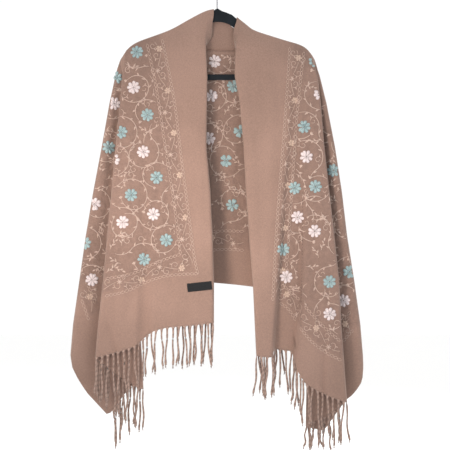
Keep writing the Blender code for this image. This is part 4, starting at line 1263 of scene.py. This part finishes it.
def makeLabel():
    across, up = label["across"], label["up"]
    grid = []
    for column in range(across + 1):
        line = []
        for row in range(up + 1):
            u, v = (column / across - 0.5) * label["width"], (row / up - 0.5) * label["height"]
            edge = min(column, across - column, row, up - row)
            hem = label["hem"] if edge in (1, 2) else 0.0
            lift = label["lift"] + hem + label["ripple"] * np.sin(column * 0.9)
            line.append(tuple(labelPoint(u, v, lift)))
        grid.append(line)
    thing = sheetFromGrid("labelTag", grid)
    skin = thing.modifiers.new("skin", "SOLIDIFY")
    skin.thickness = label["thick"] * mm
    skin.offset = 0
    applyModifiers(thing)
    thing.data.shade_smooth()
    return thing


labelTag = makeLabel()
tape = Finish("labelTape", (0.010, 0.010, 0.012), 0.7, Sheen_Weight=0.06, Specular_IOR_Level=0.25)
tapeFlat = tape.place("UV")
tapeWeft, tapeWarp = tape.bands(tapeFlat, bandScale(0.5), "X"), tape.bands(tapeFlat, bandScale(0.9), "Y")
tapeTone = tape.noise(tape.place("Object"), 700.0)
tapeShade = tape.sum(tapeWeft, tapeTone, "MULTIPLY")
tape.colourFrom(tape.ramp(tapeShade, ((0.0, (0.004, 0.004, 0.005)), (0.6, (0.018, 0.018, 0.020)))))
tape.bump(tape.sum(tapeWeft, tapeWarp), 0.6, 0.00025)
labelTag.data.materials.clear()
labelTag.data.materials.append(tape.material)


print("the hanger")
flock = Finish("flockedHanger", (0.014, 0.017, 0.020), 0.92, Sheen_Weight=0.14, Sheen_Roughness=0.4,
               Specular_IOR_Level=0.16)
flock.shader.inputs["Sheen Tint"].default_value = (0.7, 0.78, 0.86, 1)
pile = flock.noise(flock.place("Object"), 1900.0, 3.0, 0.7)
patch = flock.noise(flock.place("Object"), 26.0, 2.0)
pileMix = flock.sum(flock.times(pile, 0.6), flock.times(patch, 0.4))
flock.colourFrom(flock.ramp(pileMix, ((0.3, (0.0055, 0.007, 0.0085)), (0.7, (0.019, 0.0235, 0.0285)))))
flock.bump(pile, 0.5, 0.0004)
steel = Finish("brushedSteel", (0.27, 0.27, 0.28), 0.24, 1.0, Anisotropic=0.35)
brushing = steel.noise(steel.stretch(steel.place("Object"), (500, 500, 30)), 1.0, 3.0)
steel.roughFrom(brushing, 0.18, 0.34)
steel.colourFrom(steel.ramp(brushing, ((0.3, (0.23, 0.23, 0.24)), (0.7, (0.30, 0.30, 0.31)))))
steel.bump(brushing, 0.15, 0.0001)
for node, finish in (("hanger_body", flock), ("hanger_hook", steel)):
    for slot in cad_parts[node].material_slots:
        slot.material = finish.material


print("floor, light and camera")
# a light: its place, what it points at, its size, power and spread, and its colour
studio = {
    "floorZ": -1.35, "floorSize": 14.0, "world": 1.03,
    "camera": (0.0173, -3.3, -0.5753), "plane": -0.013, "width": 1.0125, "sensor": 36,
    "lights": {
        "keyLight": ((-0.72, -1.25, -0.54), (-0.02, 0, -0.55), 0.45, 1.5, 44, (1.0, 0.88, 0.78)),
        "sideLight": ((-2.2, -1.6, 0.3), (0, 0, -0.5), 0.9, 2, 180, (1, 1, 1)),
        "fillLight": ((1.1, -1.9, -0.7), (0, 0, -0.55), 0.9, 4.4, 180, (0.92, 0.96, 1.0)),
        "backLight": ((1.6, 2.0, 0.6), (0, 0, -0.5), 1.2, 46, 180, (1, 1, 1)),
    },
}
bpy.ops.mesh.primitive_plane_add(size=studio["floorSize"], location=(0, 0, studio["floorZ"]))
floor = bpy.context.object
floor.name = "floor"
bpy.ops.object.transform_apply(location=True, rotation=True, scale=True)
floorFinish = Finish("paleFloor", (0.965, 0.965, 0.96), 0.9)
floor.data.materials.append(floorFinish.material)
bpy.ops.object.select_all(action="DESELECT")

world = bpy.data.worlds.new("studio")
bpy.context.scene.world = world
world.use_nodes = True
background = world.node_tree.nodes["Background"]
background.inputs["Color"].default_value = (1, 1, 1, 1)
background.inputs["Strength"].default_value = studio["world"]

for name, (place, target, size, power, spread, colour) in studio["lights"].items():
    lamp = bpy.data.lights.new(name, "AREA")
    lamp.size, lamp.energy, lamp.spread, lamp.color = size, power, math.radians(spread), colour
    light = bpy.data.objects.new(name, lamp)
    bpy.context.scene.collection.objects.link(light)
    light.location = place
    light.rotation_euler = (Vector(target) - Vector(place)).to_track_quat("-Z", "Y").to_euler()

cameraData = bpy.data.cameras.new("camera")
camera = bpy.data.objects.new("camera", cameraData)
bpy.context.scene.collection.objects.link(camera)
camera.location = studio["camera"]
camera.rotation_euler = (math.pi / 2, 0, 0)
cameraData.sensor_width = studio["sensor"]
cameraData.lens = studio["sensor"] * (studio["plane"] - studio["camera"][1]) / studio["width"]
bpy.context.scene.camera = camera
bpy.context.scene.view_settings.view_transform = "Standard"


print("what stands for what")
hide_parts("shawl_left", "shawl_right", "shawl_back")
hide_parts("fringe_left")
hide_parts("fringe_right")
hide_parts("woven_label")
finishes = [(shawl, "wool"), (fringeLeft, "fringe"), (fringeRight, "fringe"), (labelTag, "label")]
for piece, slot in finishes + [(piece, "wool") for piece in stitched]:
    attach(piece, "root")
